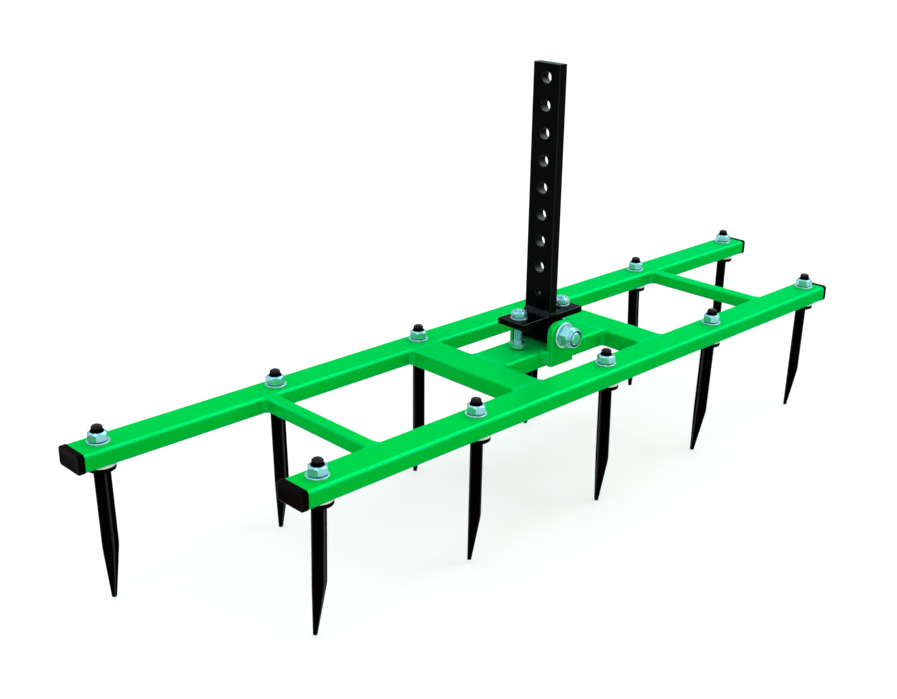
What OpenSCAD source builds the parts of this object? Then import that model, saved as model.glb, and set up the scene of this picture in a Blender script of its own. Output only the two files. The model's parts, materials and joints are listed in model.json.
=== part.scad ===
/* [Frame tubes] */
// Width of the front and rear beams
tube_w = 40; // [34:1:50]
// Height of the front and rear beams
tube_h = 20; // [16:1:30]
// Wall of every tube
tube_wall = 2; // [1.5:0.25:2.5]
// Outer corner radius of every tube
tube_r = 4; // [3:0.25:5]
// Width of the two inner cross members
inner_w = 44; // [34:1:50]
// How much deeper the inner cross members and the middle beam are than the long beams
inner_deeper = 2; // [0:0.5:3]
// Width of the flat beam in the middle that carries the pivot
mid_w = 53; // [44:1:70]
// Width of the two thin outer cross members
outer_w = 16; // [14:1:30]
// How much less deep the outer cross members are than the long beams
outer_less = 2; // [0:0.5:3]
// Distance between the centre lines of the front and rear beams
beam_spacing = 208; // [190:1:300]
// Distance of each inner cross member from the middle
inner_x = 112; // [100:1:130]
// Distance of each outer cross member from the middle
outer_x = 343.5; // [300:0.5:400]
// Length of the rear beam past its outermost tine
rear_overhang = 30; // [22:1:60]
// Length of the front beam past its outermost tine
front_overhang = 25; // [20:1:60]

/* [End caps] */
// Thickness of the part of an end cap that shows
cap_t = 6; // [4:0.5:10]
// Bevel round the face of an end cap
cap_bevel = 1.5; // [0.5:0.25:2.5]
// Depth to which the plug of an end cap goes into its tube
plug_len = 13; // [10:0.5:15]
// Wall of the plug
plug_wall = 2; // [1.5:0.25:2.5]
// How far each rib stands out from the plug
rib_h = 1; // [0.5:0.25:1.25]
// Thickness of each rib
rib_t = 1.2; // [0.8:0.1:2]

/* [Tines] */
// Distance between neighbouring tines of one row
tine_pitch = 216; // [190:1:240]
// Side of the square bar of a tine
tine_side = 13; // [10:0.5:16]
// Length of a tine below its collar
tine_len = 151.5; // [120:0.5:200]
// Length of the tapered point
point_len = 58; // [40:1:80]
// Side of the blunt end of the point
tip_side = 4.4; // [3:0.1:6]
// Broken edge at the very tip
tip_chamfer = 0.9; // [0.4:0.1:1.2]
// Broken edges along the square bar
bar_chamfer = 0.8; // [0.4:0.1:1.5]
// Diameter of the round collar at the head of a tine
collar_d = 29; // [24:0.5:31]
// Thickness of the collar
collar_t = 4; // [3:0.25:6]
// Thread diameter of the tine stud
stud_d = 12; // [10:0.5:13]
// How far the stud stands out of its nut
stud_proud = 7; // [4:0.5:12]
// Chamfer on the end of the stud
stud_chamfer = 2; // [1:0.25:2.5]

/* [Tine fasteners] */
// Outer diameter of the washer on top of the beam
top_washer_d = 24; // [23:0.5:30]
// Outer diameter of the seat washer between beam and collar
seat_washer_d = 30; // [24:0.5:31]
// Thickness of both tine washers
washer_t = 2.5; // [1.5:0.25:3.5]
// Width across the flats of a tine nut
nut_af = 19; // [18:0.5:22]
// Height of a tine nut
nut_h = 10; // [7:0.5:12]

/* [Pivot] */
// Diameter of the pivot bolt
pivot_d = 16; // [12:0.5:18]
// Height of the pivot axis above the top of the frame
pivot_rise = 18.5; // [18:0.25:24]
// Thickness of the front ear
ear_t = 9; // [5:0.5:12]
// Thickness of the rear ear
rear_ear_t = 5; // [4:0.5:12]
// Gap between the front ear and the middle beam, which its welds bridge
ear_gap = 2.5; // [0.5:0.5:3]
// Width of each ear
ear_w = 40; // [36:1:56]
// Height of an ear above the top of the frame
ear_rise = 34.5; // [30:0.5:44]
// Depth of an ear below the top of the frame
ear_drop = 19; // [15:0.5:21]
// Radius of the two upper corners of an ear
ear_r = 14; // [6:0.5:17]
// Width of the pivot block, which is round below the bolt
block_w = 34; // [30:0.5:35]
// Side play of the pivot block between the ears
block_play = 0.5; // [0.3:0.05:1]
// Width across the flats of the pivot bolt head and its nut
pivot_af = 24; // [22:0.5:28]
// Height of the pivot bolt head
pivot_head_h = 7.5; // [6:0.5:13]
// Outer diameter of the washer under the pivot nut
pivot_washer_d = 33; // [29:0.5:36]
// Thickness of the washer under the pivot nut
pivot_washer_t = 3; // [2:0.25:4]
// Outer diameter of the washer under the pivot bolt head
head_washer_d = 29; // [28:0.5:36]
// Thickness of the washer under the pivot bolt head
head_washer_t = 2; // [1.5:0.25:4]
// Height of the hexagon of the pivot nut
pivot_nut_h = 11; // [9:0.5:14]
// Height of the round collar of the pivot nut
nut_collar_h = 4.5; // [3.5:0.25:6]
// How far the pivot bolt stands out of its nut
pivot_proud = 2.5; // [1:0.25:6]
// Depth of the nylon ring in the nut collar
insert_h = 3; // [2:0.25:3.25]

/* [Hitch] */
// Length of the hitch plate across the frame
plate_l = 107; // [98:1:120]
// Width of the hitch plate along the pivot bolt
plate_w = 40; // [36:1:56]
// Thickness of the hitch plate
plate_t = 8; // [6:0.5:12]
// Height of the underside of the plate above the pivot axis
plate_rise = 12; // [11:0.25:16]
// Thickness of the mast
mast_t = 12; // [8:0.5:14]
// Width of the mast
mast_w = 40; // [32:1:50]
// Length of the mast above the plate
mast_len = 298; // [290:1:400]
// Diameter of the pin holes in the mast
pin_d = 14; // [10:0.5:16]
// Distance between neighbouring pin holes
pin_pitch = 32; // [28:0.5:32.5]
// Distance of the topmost pin hole below the end of the mast
pin_top = 16; // [14:0.5:18]
// Diameter of the small hanging hole below the pin holes
hang_d = 8; // [5:0.5:10]

/* [Stop bolts] */
// Thread diameter of a stop bolt
stop_d = 10; // [8:0.5:11]
// Distance of each stop bolt from the middle of the plate
stop_x = 38.5; // [36:0.5:40]
// Width across the flats of the stop bolt head and lock nut
stop_af = 17; // [16:0.5:18]
// Height of the stop bolt head
stop_head_h = 6.5; // [5:0.5:8]
// Gap between the stop bolt head and the frame at rest
stop_gap = 1.6; // [1.6:0.1:4]
// Height of the lock nut
stop_nut_h = 8; // [6:0.5:9]
// Outer diameter of the washer under the lock nut
stop_washer_d = 20; // [19:0.5:22]
// Thickness of the washer under the lock nut
stop_washer_t = 2; // [1.5:0.25:3]
// How far the stop bolt stands out of its lock nut
stop_proud = 1.5; // [0.5:0.25:5]

/* [Welds and clearances] */
// Leg of the weld fillets between the tubes
weld_leg = 4; // [2:0.5:6]
// Leg of the weld fillets beside the ears
ear_weld_leg = 6; // [3:0.5:8]
// Leg of the weld fillet round the foot of the mast
mast_weld_leg = 6; // [3:0.5:7]
// Leg of the weld fillets beside the pivot block
block_weld_leg = 4; // [2:0.5:6]
// Radial clearance of a bolt in a plain hole
hole_clear = 0.5; // [0.3:0.05:1]
// Radial clearance of a thread or a turning pin
thread_clear = 0.08; // [0.05:0.01:0.1]
// Clearance between the ribs of a plug and the tube
plug_clear = 0.1; // [0.05:0.05:0.2]

/* [Hidden] */
$fn = 64;

paint_green = "#00c853";
paint_black = "#1a1a1a";
plastic_black = "#262220";
zinc = "#c8ccd0";
nylon = "#2b2f3a";

// Heights, with the tips of the tines on the ground at zero
beam_bottom = tine_len + collar_t + washer_t;
beam_top = beam_bottom + tube_h;
inner_h = tube_h + inner_deeper;
outer_h = tube_h - outer_less;
pivot_z = beam_top + pivot_rise;
plate_bottom = pivot_z + plate_rise;
plate_top = plate_bottom + plate_t;
mast_top = plate_top + mast_len;

// Places of the tines, six behind and five between them in front
rear_count = 6;
front_count = 5;
rear_xs = [for (i = [0 : rear_count - 1]) (i - (rear_count - 1) / 2) * tine_pitch];
front_xs = [for (i = [0 : front_count - 1]) (i - (front_count - 1) / 2) * tine_pitch];
rear_y = beam_spacing / 2;
front_y = -beam_spacing / 2;
spots = concat([for (x = rear_xs) [x, rear_y]], [for (x = front_xs) [x, front_y]]);

// Turn of each tine about its stud, as its nut left it
rear_turns = [126, 36, 54, 5, 114, 32];
front_turns = [40, 46, 50, 50, 30];

// Turn of each tine nut
nut_turns = [8, 22, 41, 13, 30, 4, 10, 27, 35, 19, 50];

rear_len = rear_xs[rear_count - 1] * 2 + rear_overhang * 2;
front_len = front_xs[front_count - 1] * 2 + front_overhang * 2;
cross_len = beam_spacing - tube_w;
mid_len = inner_x * 2 - inner_w;
stud_hole = stud_d + hole_clear * 2;
stud_len = washer_t * 2 + tube_h + nut_h + stud_proud;
pin_count = floor((mast_len - pin_top - hang_d / 2 - mast_weld_leg) / pin_pitch);

// Places along the pivot bolt, measured from the middle of the frame
front_ear_face = mid_w / 2 + ear_gap + ear_t;
rear_ear_face = mid_w / 2 + rear_ear_t;
head_seat = rear_ear_face + head_washer_t;
nut_seat = front_ear_face + pivot_washer_t;
nut_face = nut_seat + pivot_nut_h + nut_collar_h;
block_len = mid_w + ear_gap - 2 * block_play;
collar_wall = 1.6;
nut_collar_d = pivot_af * 0.96;

// Rectangle with round corners, about its own middle
module rounded_rect(w, h, r) {
    square([w - 2 * r, h], center = true);
    square([w, h - 2 * r], center = true);
    for (sx = [-1, 1])
        for (sy = [-1, 1])
            translate([sx * (w / 2 - r), sy * (h / 2 - r)])
                circle(r = r);
}

// Rectangle with its corners cut off
module chamfered_rect(w, h, c) {
    polygon([
        [-w / 2 + c, -h / 2], [w / 2 - c, -h / 2], [w / 2, -h / 2 + c], [w / 2, h / 2 - c],
        [w / 2 - c, h / 2], [-w / 2 + c, h / 2], [-w / 2, h / 2 - c], [-w / 2, -h / 2 + c]
    ]);
}

// Turns an outline drawn in width and height so that it is drawn out along X
module along_x() {
    rotate([90, 0, 90])
        children();
}

// Turns an outline drawn in width and height so that it is drawn out along Y
module along_y() {
    rotate([90, 0, 0])
        children();
}

// Cross-section of a frame tube, with its upper side at height zero
module tube_section(w, h) {
    translate([0, -h / 2])
        difference() {
            rounded_rect(w, h, tube_r);
            rounded_rect(w - 2 * tube_wall, h - 2 * tube_wall, tube_r - tube_wall);
        }
}

// Long beam with a stud hole through both walls under each tine nut
module long_beam(len, xs, y) {
    difference() {
        translate([0, y, beam_top])
            along_x()
                linear_extrude(len, center = true)
                    tube_section(tube_w, tube_h);
        for (x = xs)
            translate([x, y, beam_bottom - 1])
                cylinder(h = tube_h + 2, d = stud_hole);
    }
}

module rear_beam() {
    color(paint_green)
        long_beam(rear_len, rear_xs, rear_y);
}

module front_beam() {
    color(paint_green)
        long_beam(front_len, front_xs, front_y);
}

module mid_beam() {
    color(paint_green)
        translate([0, 0, beam_top])
            along_x()
                linear_extrude(mid_len, center = true)
                    tube_section(mid_w, inner_h);
}

module cross_member(x, w, h) {
    color(paint_green)
        translate([x, 0, beam_top])
            along_y()
                linear_extrude(cross_len, center = true)
                    tube_section(w, h);
}

// Weld at one square-cut tube end of width w and height h that meets the side of a tube of
// height side_h. The end faces +Y at the origin, flush with the top of that tube. The beads
// over and under it fill the round edge of the tube that it meets.
module end_weld(w, h, side_h) {
    low = tube_r - side_h;
    for (s = [-1, 1])
        translate([s * w / 2, 0, tube_r - min(h, side_h)])
            linear_extrude(min(h, side_h) - 2 * tube_r)
                polygon([[0, 0], [s * weld_leg, 0], [0, -weld_leg]]);
    along_x()
        linear_extrude(w - 2 * tube_r, center = true) {
            difference() {
                translate([0, -tube_r])
                    square([tube_r, tube_r]);
                translate([tube_r, -tube_r])
                    circle(r = tube_r);
            }
            difference() {
                polygon([[0, low], [0, -h], [tube_r, -side_h], [tube_r, low]]);
                translate([tube_r, low])
                    circle(r = tube_r);
            }
        }
}

module frame_welds() {
    color(paint_green)
        translate([0, 0, beam_top]) {
            for (sx = [-1, 1])
                for (side = [0, 180])
                    rotate([0, 0, side]) {
                        translate([sx * inner_x, cross_len / 2, 0])
                            end_weld(inner_w, inner_h, tube_h);
                        translate([sx * outer_x, cross_len / 2, 0])
                            end_weld(outer_w, outer_h, tube_h);
                    }
            for (side = [90, -90])
                rotate([0, 0, side])
                    translate([0, mid_len / 2, 0])
                        end_weld(mid_w, inner_h, inner_h);
        }
}

// Outline of an ear, with the top of the frame at height zero
module ear_outline() {
    translate([-ear_w / 2, -ear_drop])
        square([ear_w, ear_drop + ear_rise - ear_r]);
    translate([-ear_w / 2 + ear_r, 0])
        square([ear_w - 2 * ear_r, ear_rise]);
    for (s = [-1, 1])
        translate([s * (ear_w / 2 - ear_r), ear_rise - ear_r])
            circle(r = ear_r);
}

// Ear of the given thickness, with its rear face at y
module ear(y, t) {
    color(paint_green)
        translate([0, y, beam_top])
            along_y()
                linear_extrude(t)
                    difference() {
                        ear_outline();
                        translate([0, pivot_rise])
                            circle(d = pivot_d + 2 * hole_clear);
                    }
}

module front_ear() {
    ear(ear_t - front_ear_face, ear_t);
}

module rear_ear() {
    ear(rear_ear_face, rear_ear_t);
}

// Upright fillet in the corner between the middle beam, which lies at -Y, and the edge of an
// ear of thickness t at -X, and behind that ear when it stands off the beam
module ear_weld(gap, t) {
    low = min(inner_h - tube_r, ear_drop);
    translate([0, 0, beam_top - low])
        linear_extrude(low - tube_r) {
            polygon([[0, 0], [ear_weld_leg, 0], [0, gap + min(ear_weld_leg, t)]]);
            if (gap > 0)
                translate([-ear_weld_leg, 0])
                    square([ear_weld_leg, gap]);
        }
}

module ear_welds() {
    color(paint_green)
        for (sx = [0, 1])
            mirror([sx, 0, 0]) {
                translate([ear_w / 2, mid_w / 2, 0])
                    ear_weld(0, rear_ear_t);
                translate([ear_w / 2, -mid_w / 2, 0])
                    mirror([0, 1, 0])
                        ear_weld(ear_gap, ear_t);
            }
}

// Push-in cap for the end of a long beam, with its face towards +X at the end of the tube
module end_cap() {
    plug_w = tube_w - 2 * tube_wall - 2 * plug_clear;
    plug_h = tube_h - 2 * tube_wall - 2 * plug_clear;
    body_w = plug_w - 2 * rib_h;
    body_h = plug_h - 2 * rib_h;
    corner = tube_r - tube_wall;
    intersection() {
        along_x()
            linear_extrude(cap_t)
                rounded_rect(tube_w, tube_h, tube_r);
        along_y()
            linear_extrude(tube_w, center = true)
                cap_side(tube_h);
        linear_extrude(tube_h, center = true)
            cap_side(tube_w);
    }
    translate([-plug_len, 0, 0])
        along_x()
            linear_extrude(plug_len + cap_t / 2)
                difference() {
                    rounded_rect(body_w, body_h, corner);
                    square([body_w - 2 * plug_wall, body_h - 2 * plug_wall], center = true);
                }
    for (i = [1 : 3])
        translate([-i * plug_len / 4 - rib_t / 2, 0, 0])
            along_x()
                linear_extrude(rib_t)
                    difference() {
                        rounded_rect(plug_w, plug_h, corner);
                        square([body_w - 2 * plug_wall, body_h - 2 * plug_wall], center = true);
                    }
}

// Side view of the head of a cap, with its bevel
module cap_side(size) {
    polygon([
        [0, -size / 2], [cap_t - cap_bevel, -size / 2], [cap_t, -size / 2 + cap_bevel],
        [cap_t, size / 2 - cap_bevel], [cap_t - cap_bevel, size / 2], [0, size / 2]
    ]);
}

// End cap on the left or right end of a beam of the given length
module placed_cap(side, len, y) {
    color(plastic_black)
        translate([side * len / 2, y, beam_top - tube_h / 2])
            rotate([0, 0, side > 0 ? 0 : 180])
                end_cap();
}

// Square bar with a point whose back face stays straight, collar and threaded stud. The bar
// runs up into the collar.
module tine() {
    half = tine_side / 2;
    bar_top = tine_len + collar_t / 2;
    intersection() {
        linear_extrude(bar_top)
            chamfered_rect(tine_side, tine_side, bar_chamfer);
        along_x()
            linear_extrude(tine_side, center = true)
                polygon([
                    [-half, bar_top], [-half, point_len], [half - tip_side, tip_chamfer],
                    [half - tip_side + tip_chamfer, 0], [half - tip_chamfer, 0],
                    [half, tip_chamfer], [half, bar_top]
                ]);
        along_y()
            linear_extrude(tine_side, center = true)
                polygon([
                    [-half, bar_top], [-half, point_len], [-tip_side / 2, tip_chamfer],
                    [-tip_side / 2 + tip_chamfer, 0], [tip_side / 2 - tip_chamfer, 0],
                    [tip_side / 2, tip_chamfer], [half, point_len], [half, bar_top]
                ]);
    }
    translate([0, 0, tine_len])
        rotate_extrude()
            polygon([
                [0, 0], [collar_d / 2, 0], [collar_d / 2, collar_t], [stud_d / 2, collar_t],
                [stud_d / 2, collar_t + stud_len - stud_chamfer],
                [stud_d / 2 - stud_chamfer, collar_t + stud_len], [0, collar_t + stud_len]
            ]);
}

module rear_tine(i) {
    color(paint_black)
        translate([rear_xs[i - 1], rear_y, 0])
            rotate([0, 0, rear_turns[i - 1]])
                tine();
}

module front_tine(i) {
    color(paint_black)
        translate([front_xs[i - 1], front_y, 0])
            rotate([0, 0, front_turns[i - 1]])
                tine();
}

// Flat ring
module washer(outer, hole, t) {
    linear_extrude(t)
        difference() {
            circle(d = outer);
            circle(d = hole);
        }
}

module tine_seat_washers() {
    color(zinc)
        for (p = spots)
            translate([p[0], p[1], beam_bottom - washer_t])
                washer(seat_washer_d, stud_hole, washer_t);
}

module tine_top_washers() {
    color(zinc)
        for (p = spots)
            translate([p[0], p[1], beam_top])
                washer(top_washer_d, stud_hole, washer_t);
}

// Hexagon with both ends turned down at 30 degrees, or the upper end alone
module hexagon(af, h, both = true) {
    corner = af / 2 / cos(30);
    face = af / 2 * 0.97;
    drop = (corner - face) * tan(30);
    intersection() {
        cylinder(h = h, r = corner, $fn = 6);
        rotate_extrude()
            polygon([
                [0, 0], [both ? face : corner, 0], [corner, both ? drop : 0],
                [corner, h - drop], [face, h], [0, h]
            ]);
    }
}

// Plain nut for a thread of the given diameter
module hex_nut(af, h, thread) {
    difference() {
        hexagon(af, h);
        translate([0, 0, -1])
            cylinder(h = h + 2, d = thread + 2 * thread_clear);
    }
}

module tine_nuts() {
    color(zinc)
        for (i = [0 : len(spots) - 1])
            translate([spots[i][0], spots[i][1], beam_top + washer_t])
                rotate([0, 0, nut_turns[i]])
                    hex_nut(nut_af, nut_h, stud_d);
}

// Hexagon bolt that stands on its head, with a chamfered end
module hex_bolt(af, head_h, thread, len) {
    chamfer = thread * 0.1;
    mirror([0, 0, 1])
        hexagon(af, head_h, false);
    rotate_extrude()
        polygon([
            [0, -head_h / 2], [thread / 2, -head_h / 2], [thread / 2, len - chamfer],
            [thread / 2 - chamfer, len], [0, len]
        ]);
}

// Puts a part drawn along Z on the pivot axis, pointing to the front or the rear
module on_pivot(y, side) {
    translate([0, y, pivot_z])
        rotate([side * 90, 0, 0])
            children();
}

module pivot_bolt() {
    color(zinc)
        on_pivot(head_seat, 1)
            hex_bolt(pivot_af, pivot_head_h, pivot_d, head_seat + nut_face + pivot_proud);
}

module pivot_head_washer() {
    color(zinc)
        on_pivot(head_seat, 1)
            washer(head_washer_d, pivot_d + 2 * hole_clear, head_washer_t);
}

module pivot_nut_washer() {
    color(zinc)
        on_pivot(-front_ear_face, 1)
            washer(pivot_washer_d, pivot_d + 2 * hole_clear, pivot_washer_t);
}

// Lock nut with a round collar that holds a nylon ring
module pivot_nut() {
    lip = nut_collar_h * 0.25;
    color(zinc)
        on_pivot(-nut_seat, 1)
            difference() {
                union() {
                    hexagon(pivot_af, pivot_nut_h);
                    translate([0, 0, pivot_nut_h])
                        rotate_extrude()
                            polygon([
                                [0, -pivot_nut_h / 2], [nut_collar_d / 2, -pivot_nut_h / 2],
                                [nut_collar_d / 2, nut_collar_h - lip],
                                [nut_collar_d / 2 - lip, nut_collar_h], [0, nut_collar_h]
                            ]);
                }
                translate([0, 0, -1])
                    cylinder(h = pivot_nut_h + nut_collar_h + 2, d = pivot_d + 2 * thread_clear);
                translate([0, 0, pivot_nut_h + nut_collar_h - insert_h])
                    cylinder(h = insert_h + 1, d = nut_collar_d - 2 * collar_wall);
            }
}

module pivot_nut_insert() {
    color(nylon)
        on_pivot(-nut_face + insert_h, 1)
            washer(nut_collar_d - 2 * collar_wall, pivot_d + 2 * thread_clear, insert_h);
}

// Block under the plate that turns on the pivot bolt
module pivot_block() {
    color(paint_black)
        translate([0, -ear_gap / 2, pivot_z])
            along_y()
                linear_extrude(block_len, center = true)
                    difference() {
                        union() {
                            circle(d = block_w);
                            translate([-block_w / 2, 0])
                                square([block_w, plate_rise]);
                        }
                        translate([-block_w / 2, plate_rise])
                            square([block_w, block_w]);
                        circle(d = pivot_d + 2 * thread_clear);
                    }
}

module block_welds() {
    color(paint_black)
        translate([0, 0, plate_bottom])
            along_y()
                linear_extrude(plate_w, center = true)
                    for (s = [-1, 1])
                        polygon([
                            [s * block_w / 2, 0], [s * (block_w / 2 + block_weld_leg), 0],
                            [s * block_w / 2, -block_weld_leg]
                        ]);
}

module hitch_plate() {
    color(paint_black)
        translate([0, 0, plate_bottom])
            linear_extrude(plate_t)
                difference() {
                    square([plate_l, plate_w], center = true);
                    for (s = [-1, 1])
                        translate([s * stop_x, 0])
                            circle(d = stop_d + 2 * thread_clear);
                }
}

module mast() {
    color(paint_black)
        difference() {
            translate([-mast_t / 2, -mast_w / 2, plate_top])
                cube([mast_t, mast_w, mast_len]);
            for (i = [0 : pin_count])
                translate([0, 0, mast_top - pin_top - i * pin_pitch])
                    rotate([0, 90, 0])
                        cylinder(h = mast_t + 2, d = i < pin_count ? pin_d : hang_d, center = true);
        }
}

// Fillet all round the foot of the mast
module mast_weld() {
    color(paint_black)
        translate([0, 0, plate_top])
            difference() {
                intersection() {
                    along_x()
                        linear_extrude(mast_t + 2 * mast_weld_leg, center = true)
                            weld_side(min(mast_w, plate_w));
                    along_y()
                        linear_extrude(mast_w + 2 * mast_weld_leg, center = true)
                            weld_side(mast_t + 2 * mast_weld_leg);
                }
                translate([-mast_t / 2, -mast_w / 2, -1])
                    cube([mast_t, mast_w, mast_weld_leg + 2]);
            }
}

// Side view of the fillet: as wide as given at the foot, and sloped up to the mast
module weld_side(foot) {
    polygon([
        [-foot / 2, 0], [foot / 2, 0],
        [foot / 2 - mast_weld_leg, mast_weld_leg], [-foot / 2 + mast_weld_leg, mast_weld_leg]
    ]);
}

module stop_washer(side) {
    color(zinc)
        translate([side * stop_x, 0, plate_top])
            washer(stop_washer_d, stop_d + 2 * hole_clear, stop_washer_t);
}

module stop_nut(side) {
    color(zinc)
        translate([side * stop_x, 0, plate_top + stop_washer_t])
            rotate([0, 0, 15])
                hex_nut(stop_af, stop_nut_h, stop_d);
}

// Bolt with its head down over the middle beam, which limits the roll of the hitch
module stop_bolt(side) {
    seat = beam_top + stop_gap + stop_head_h;
    end = plate_top + stop_washer_t + stop_nut_h + stop_proud;
    color(zinc)
        translate([side * stop_x, 0, seat])
            rotate([0, 0, 15])
                hex_bolt(stop_af, stop_head_h, stop_d, end - seat);
}

rear_beam();
front_beam();
mid_beam();
cross_member(-inner_x, inner_w, inner_h);  // inner_cross_left
cross_member(inner_x, inner_w, inner_h);  // inner_cross_right
cross_member(-outer_x, outer_w, outer_h);  // outer_cross_left
cross_member(outer_x, outer_w, outer_h);  // outer_cross_right
frame_welds();
front_ear();
rear_ear();
ear_welds();
placed_cap(-1, rear_len, rear_y);  // rear_cap_left
placed_cap(1, rear_len, rear_y);  // rear_cap_right
placed_cap(-1, front_len, front_y);  // front_cap_left
placed_cap(1, front_len, front_y);  // front_cap_right
rear_tine(1);  // rear_tine_1
rear_tine(2);  // rear_tine_2
rear_tine(3);  // rear_tine_3
rear_tine(4);  // rear_tine_4
rear_tine(5);  // rear_tine_5
rear_tine(6);  // rear_tine_6
front_tine(1);  // front_tine_1
front_tine(2);  // front_tine_2
front_tine(3);  // front_tine_3
front_tine(4);  // front_tine_4
front_tine(5);  // front_tine_5
tine_seat_washers();
tine_top_washers();
tine_nuts();
pivot_bolt();
pivot_head_washer();
pivot_nut_washer();
pivot_nut();
pivot_nut_insert();
pivot_block();
block_welds();
hitch_plate();
mast();
mast_weld();
stop_washer(-1);  // stop_washer_left
stop_washer(1);  // stop_washer_right
stop_nut(-1);  // stop_nut_left
stop_nut(1);  // stop_nut_right
stop_bolt(-1);  // stop_bolt_left
stop_bolt(1);  // stop_bolt_right
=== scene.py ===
"""Studio look of a tow-behind tine harrow, built around its packed construction.

Lengths are in metres, in the frame of the construction: +X runs along the beams, +Y to the rear
and +Z up, with the tips of the tines on the ground at z = 0. Outer sizes and places are read from
the frame, and what the frame does not hold, such as threads, weld beads and broken edges, is a
named size of the class that makes it.
"""

import json
import logging
import math
from dataclasses import dataclass, field
from enum import Enum

import bmesh
import bpy
import numpy as np
from mathutils import Matrix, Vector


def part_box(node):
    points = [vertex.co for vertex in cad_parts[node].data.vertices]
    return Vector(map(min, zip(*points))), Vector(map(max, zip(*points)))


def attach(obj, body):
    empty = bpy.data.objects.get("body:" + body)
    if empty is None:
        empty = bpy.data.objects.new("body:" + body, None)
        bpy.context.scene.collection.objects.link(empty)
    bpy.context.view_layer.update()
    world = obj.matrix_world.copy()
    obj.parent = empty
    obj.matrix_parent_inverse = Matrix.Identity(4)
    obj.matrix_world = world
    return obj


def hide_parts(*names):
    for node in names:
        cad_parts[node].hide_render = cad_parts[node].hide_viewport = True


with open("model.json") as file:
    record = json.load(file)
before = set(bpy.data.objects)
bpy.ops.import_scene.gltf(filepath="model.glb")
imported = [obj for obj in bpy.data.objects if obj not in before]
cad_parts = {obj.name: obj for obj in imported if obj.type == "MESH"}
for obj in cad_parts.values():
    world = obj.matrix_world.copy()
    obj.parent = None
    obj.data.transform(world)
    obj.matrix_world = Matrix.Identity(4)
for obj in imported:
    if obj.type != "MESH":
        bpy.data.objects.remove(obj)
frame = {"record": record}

Array = np.ndarray
log = logging.getLogger("harrow")

MM = 0.001
# Points closer than this are one point of a mesh.
WELD_DISTANCE = 1e-6
# Share of its width at which a hexagon's faces are turned down, the angle of that cone, and the
# radius of the hexagon's corners.
HEX_FACE_SHARE = 0.86
HEX_CHAMFER = math.radians(38)
HEX_CORNER = 0.35 * MM
# Steps of a quarter round on a broken edge, and of a full circle.
EDGE_STEPS = 3
CIRCLE_STEPS = 72
# Crease angles, in degrees, of weld beads, of forgings and of hexagon parts.
WELD_CREASE = 60
FORGING_CREASE = 38
HEX_CREASE = 24
# Unequal waves along a hand-run bead, of its height and of its legs: count, phase and share.
SWELL_WAVES = ((3, 0.7, 1.0), (7, 2.1, 0.6))
LEG_WAVES = ((5, 0.4, 0.1), (11, 1.9, 0.07))
# Sockets of a colour mix: factor, first and second colour, and its result.
MIX_FACTOR, MIX_FIRST, MIX_SECOND, MIX_RESULT = 0, 6, 7, 2


class Axis(Enum):
    """Direction that an outline is drawn out along."""

    X = "x"
    Y = "y"
    Z = "z"


class Side(Enum):
    """Side of the harrow, as seen from its front."""

    LEFT = -1
    RIGHT = 1


def unit(vectors: Array) -> Array:
    """Vectors scaled to length one: v / |v|."""
    return vectors / np.linalg.norm(vectors, axis=-1, keepdims=True)


def circle(angles: Array, radius: float | Array) -> Array:
    """Points radius * (cos a, sin a) at the given angles."""
    return radius * np.stack([np.cos(angles), np.sin(angles)], -1)


def full_turn(count: int) -> Array:
    """Equally spaced angles of one turn, without the repeated last one."""
    return np.arange(count) * math.tau / count


def lift(outline: Array, level: float | Array, axis: Axis = Axis.Z) -> Array:
    """Puts a flat outline into space, across the given axis.

    Args:
        outline: Points (u, v), in an array whose last dimension is 2.
        level: Place along the axis, one for all points or one for each.
        axis: (level, u, v) for X, (u, level, v) for Y and (u, v, level) for Z.

    Returns:
        The points in an array whose last dimension is 3.
    """
    u, v = outline[..., 0], outline[..., 1]
    w = np.broadcast_to(level, u.shape)
    order = {Axis.X: (w, u, v), Axis.Y: (u, w, v), Axis.Z: (u, v, w)}[axis]
    return np.stack(order, -1)


def rounded_polygon(corners: Array, radii: float | Array, corner_steps: int, flat_steps: int) -> Array:
    """Counter-clockwise outline of a convex polygon with round corners.

    With h half the angle at a corner, the arc touches the sides r / tan h from the corner, its
    centre lies r / sin h along the bisector, and it turns through pi - 2 h.

    Args:
        corners: The polygon's corners, counter-clockwise.
        radii: Radius of every corner, or one for each.
        corner_steps: Steps of each arc.
        flat_steps: Steps of each straight side.

    Returns:
        The points, corner_steps + flat_steps for each corner.
    """
    corners = np.asarray(corners, float)
    radii = np.broadcast_to(radii, len(corners)).astype(float)[:, None]
    to_last = unit(np.roll(corners, 1, 0) - corners)
    to_next = unit(np.roll(corners, -1, 0) - corners)
    half = np.arccos(np.clip((to_last * to_next).sum(1, keepdims=True), -1, 1)) / 2
    start = corners + to_last * radii / np.tan(half)
    end = corners + to_next * radii / np.tan(half)
    centre = corners + unit(to_last + to_next) * radii / np.sin(half)
    first = np.arctan2(start[:, 1] - centre[:, 1], start[:, 0] - centre[:, 0])[:, None]
    angles = first + (math.pi - 2 * half) * np.linspace(0, 1, corner_steps + 1)
    arcs = centre[:, None] + radii[..., None] * circle(angles, 1)
    share = (np.arange(1, flat_steps) / flat_steps)[None, :, None]
    flats = end[:, None] + (np.roll(start, -1, 0) - end)[:, None] * share
    return np.concatenate([arcs, flats], 1).reshape(-1, 2)


def rounded_rectangle(
    width: float, height: float, radius: float, corner_steps: int, flat_steps: int
) -> Array:
    """Outline of a rectangle with round corners about its own middle."""
    corners = np.array([(1, 1), (-1, 1), (-1, -1), (1, -1)]) * (width / 2, height / 2)
    return rounded_polygon(corners, radius, corner_steps, flat_steps)


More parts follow.
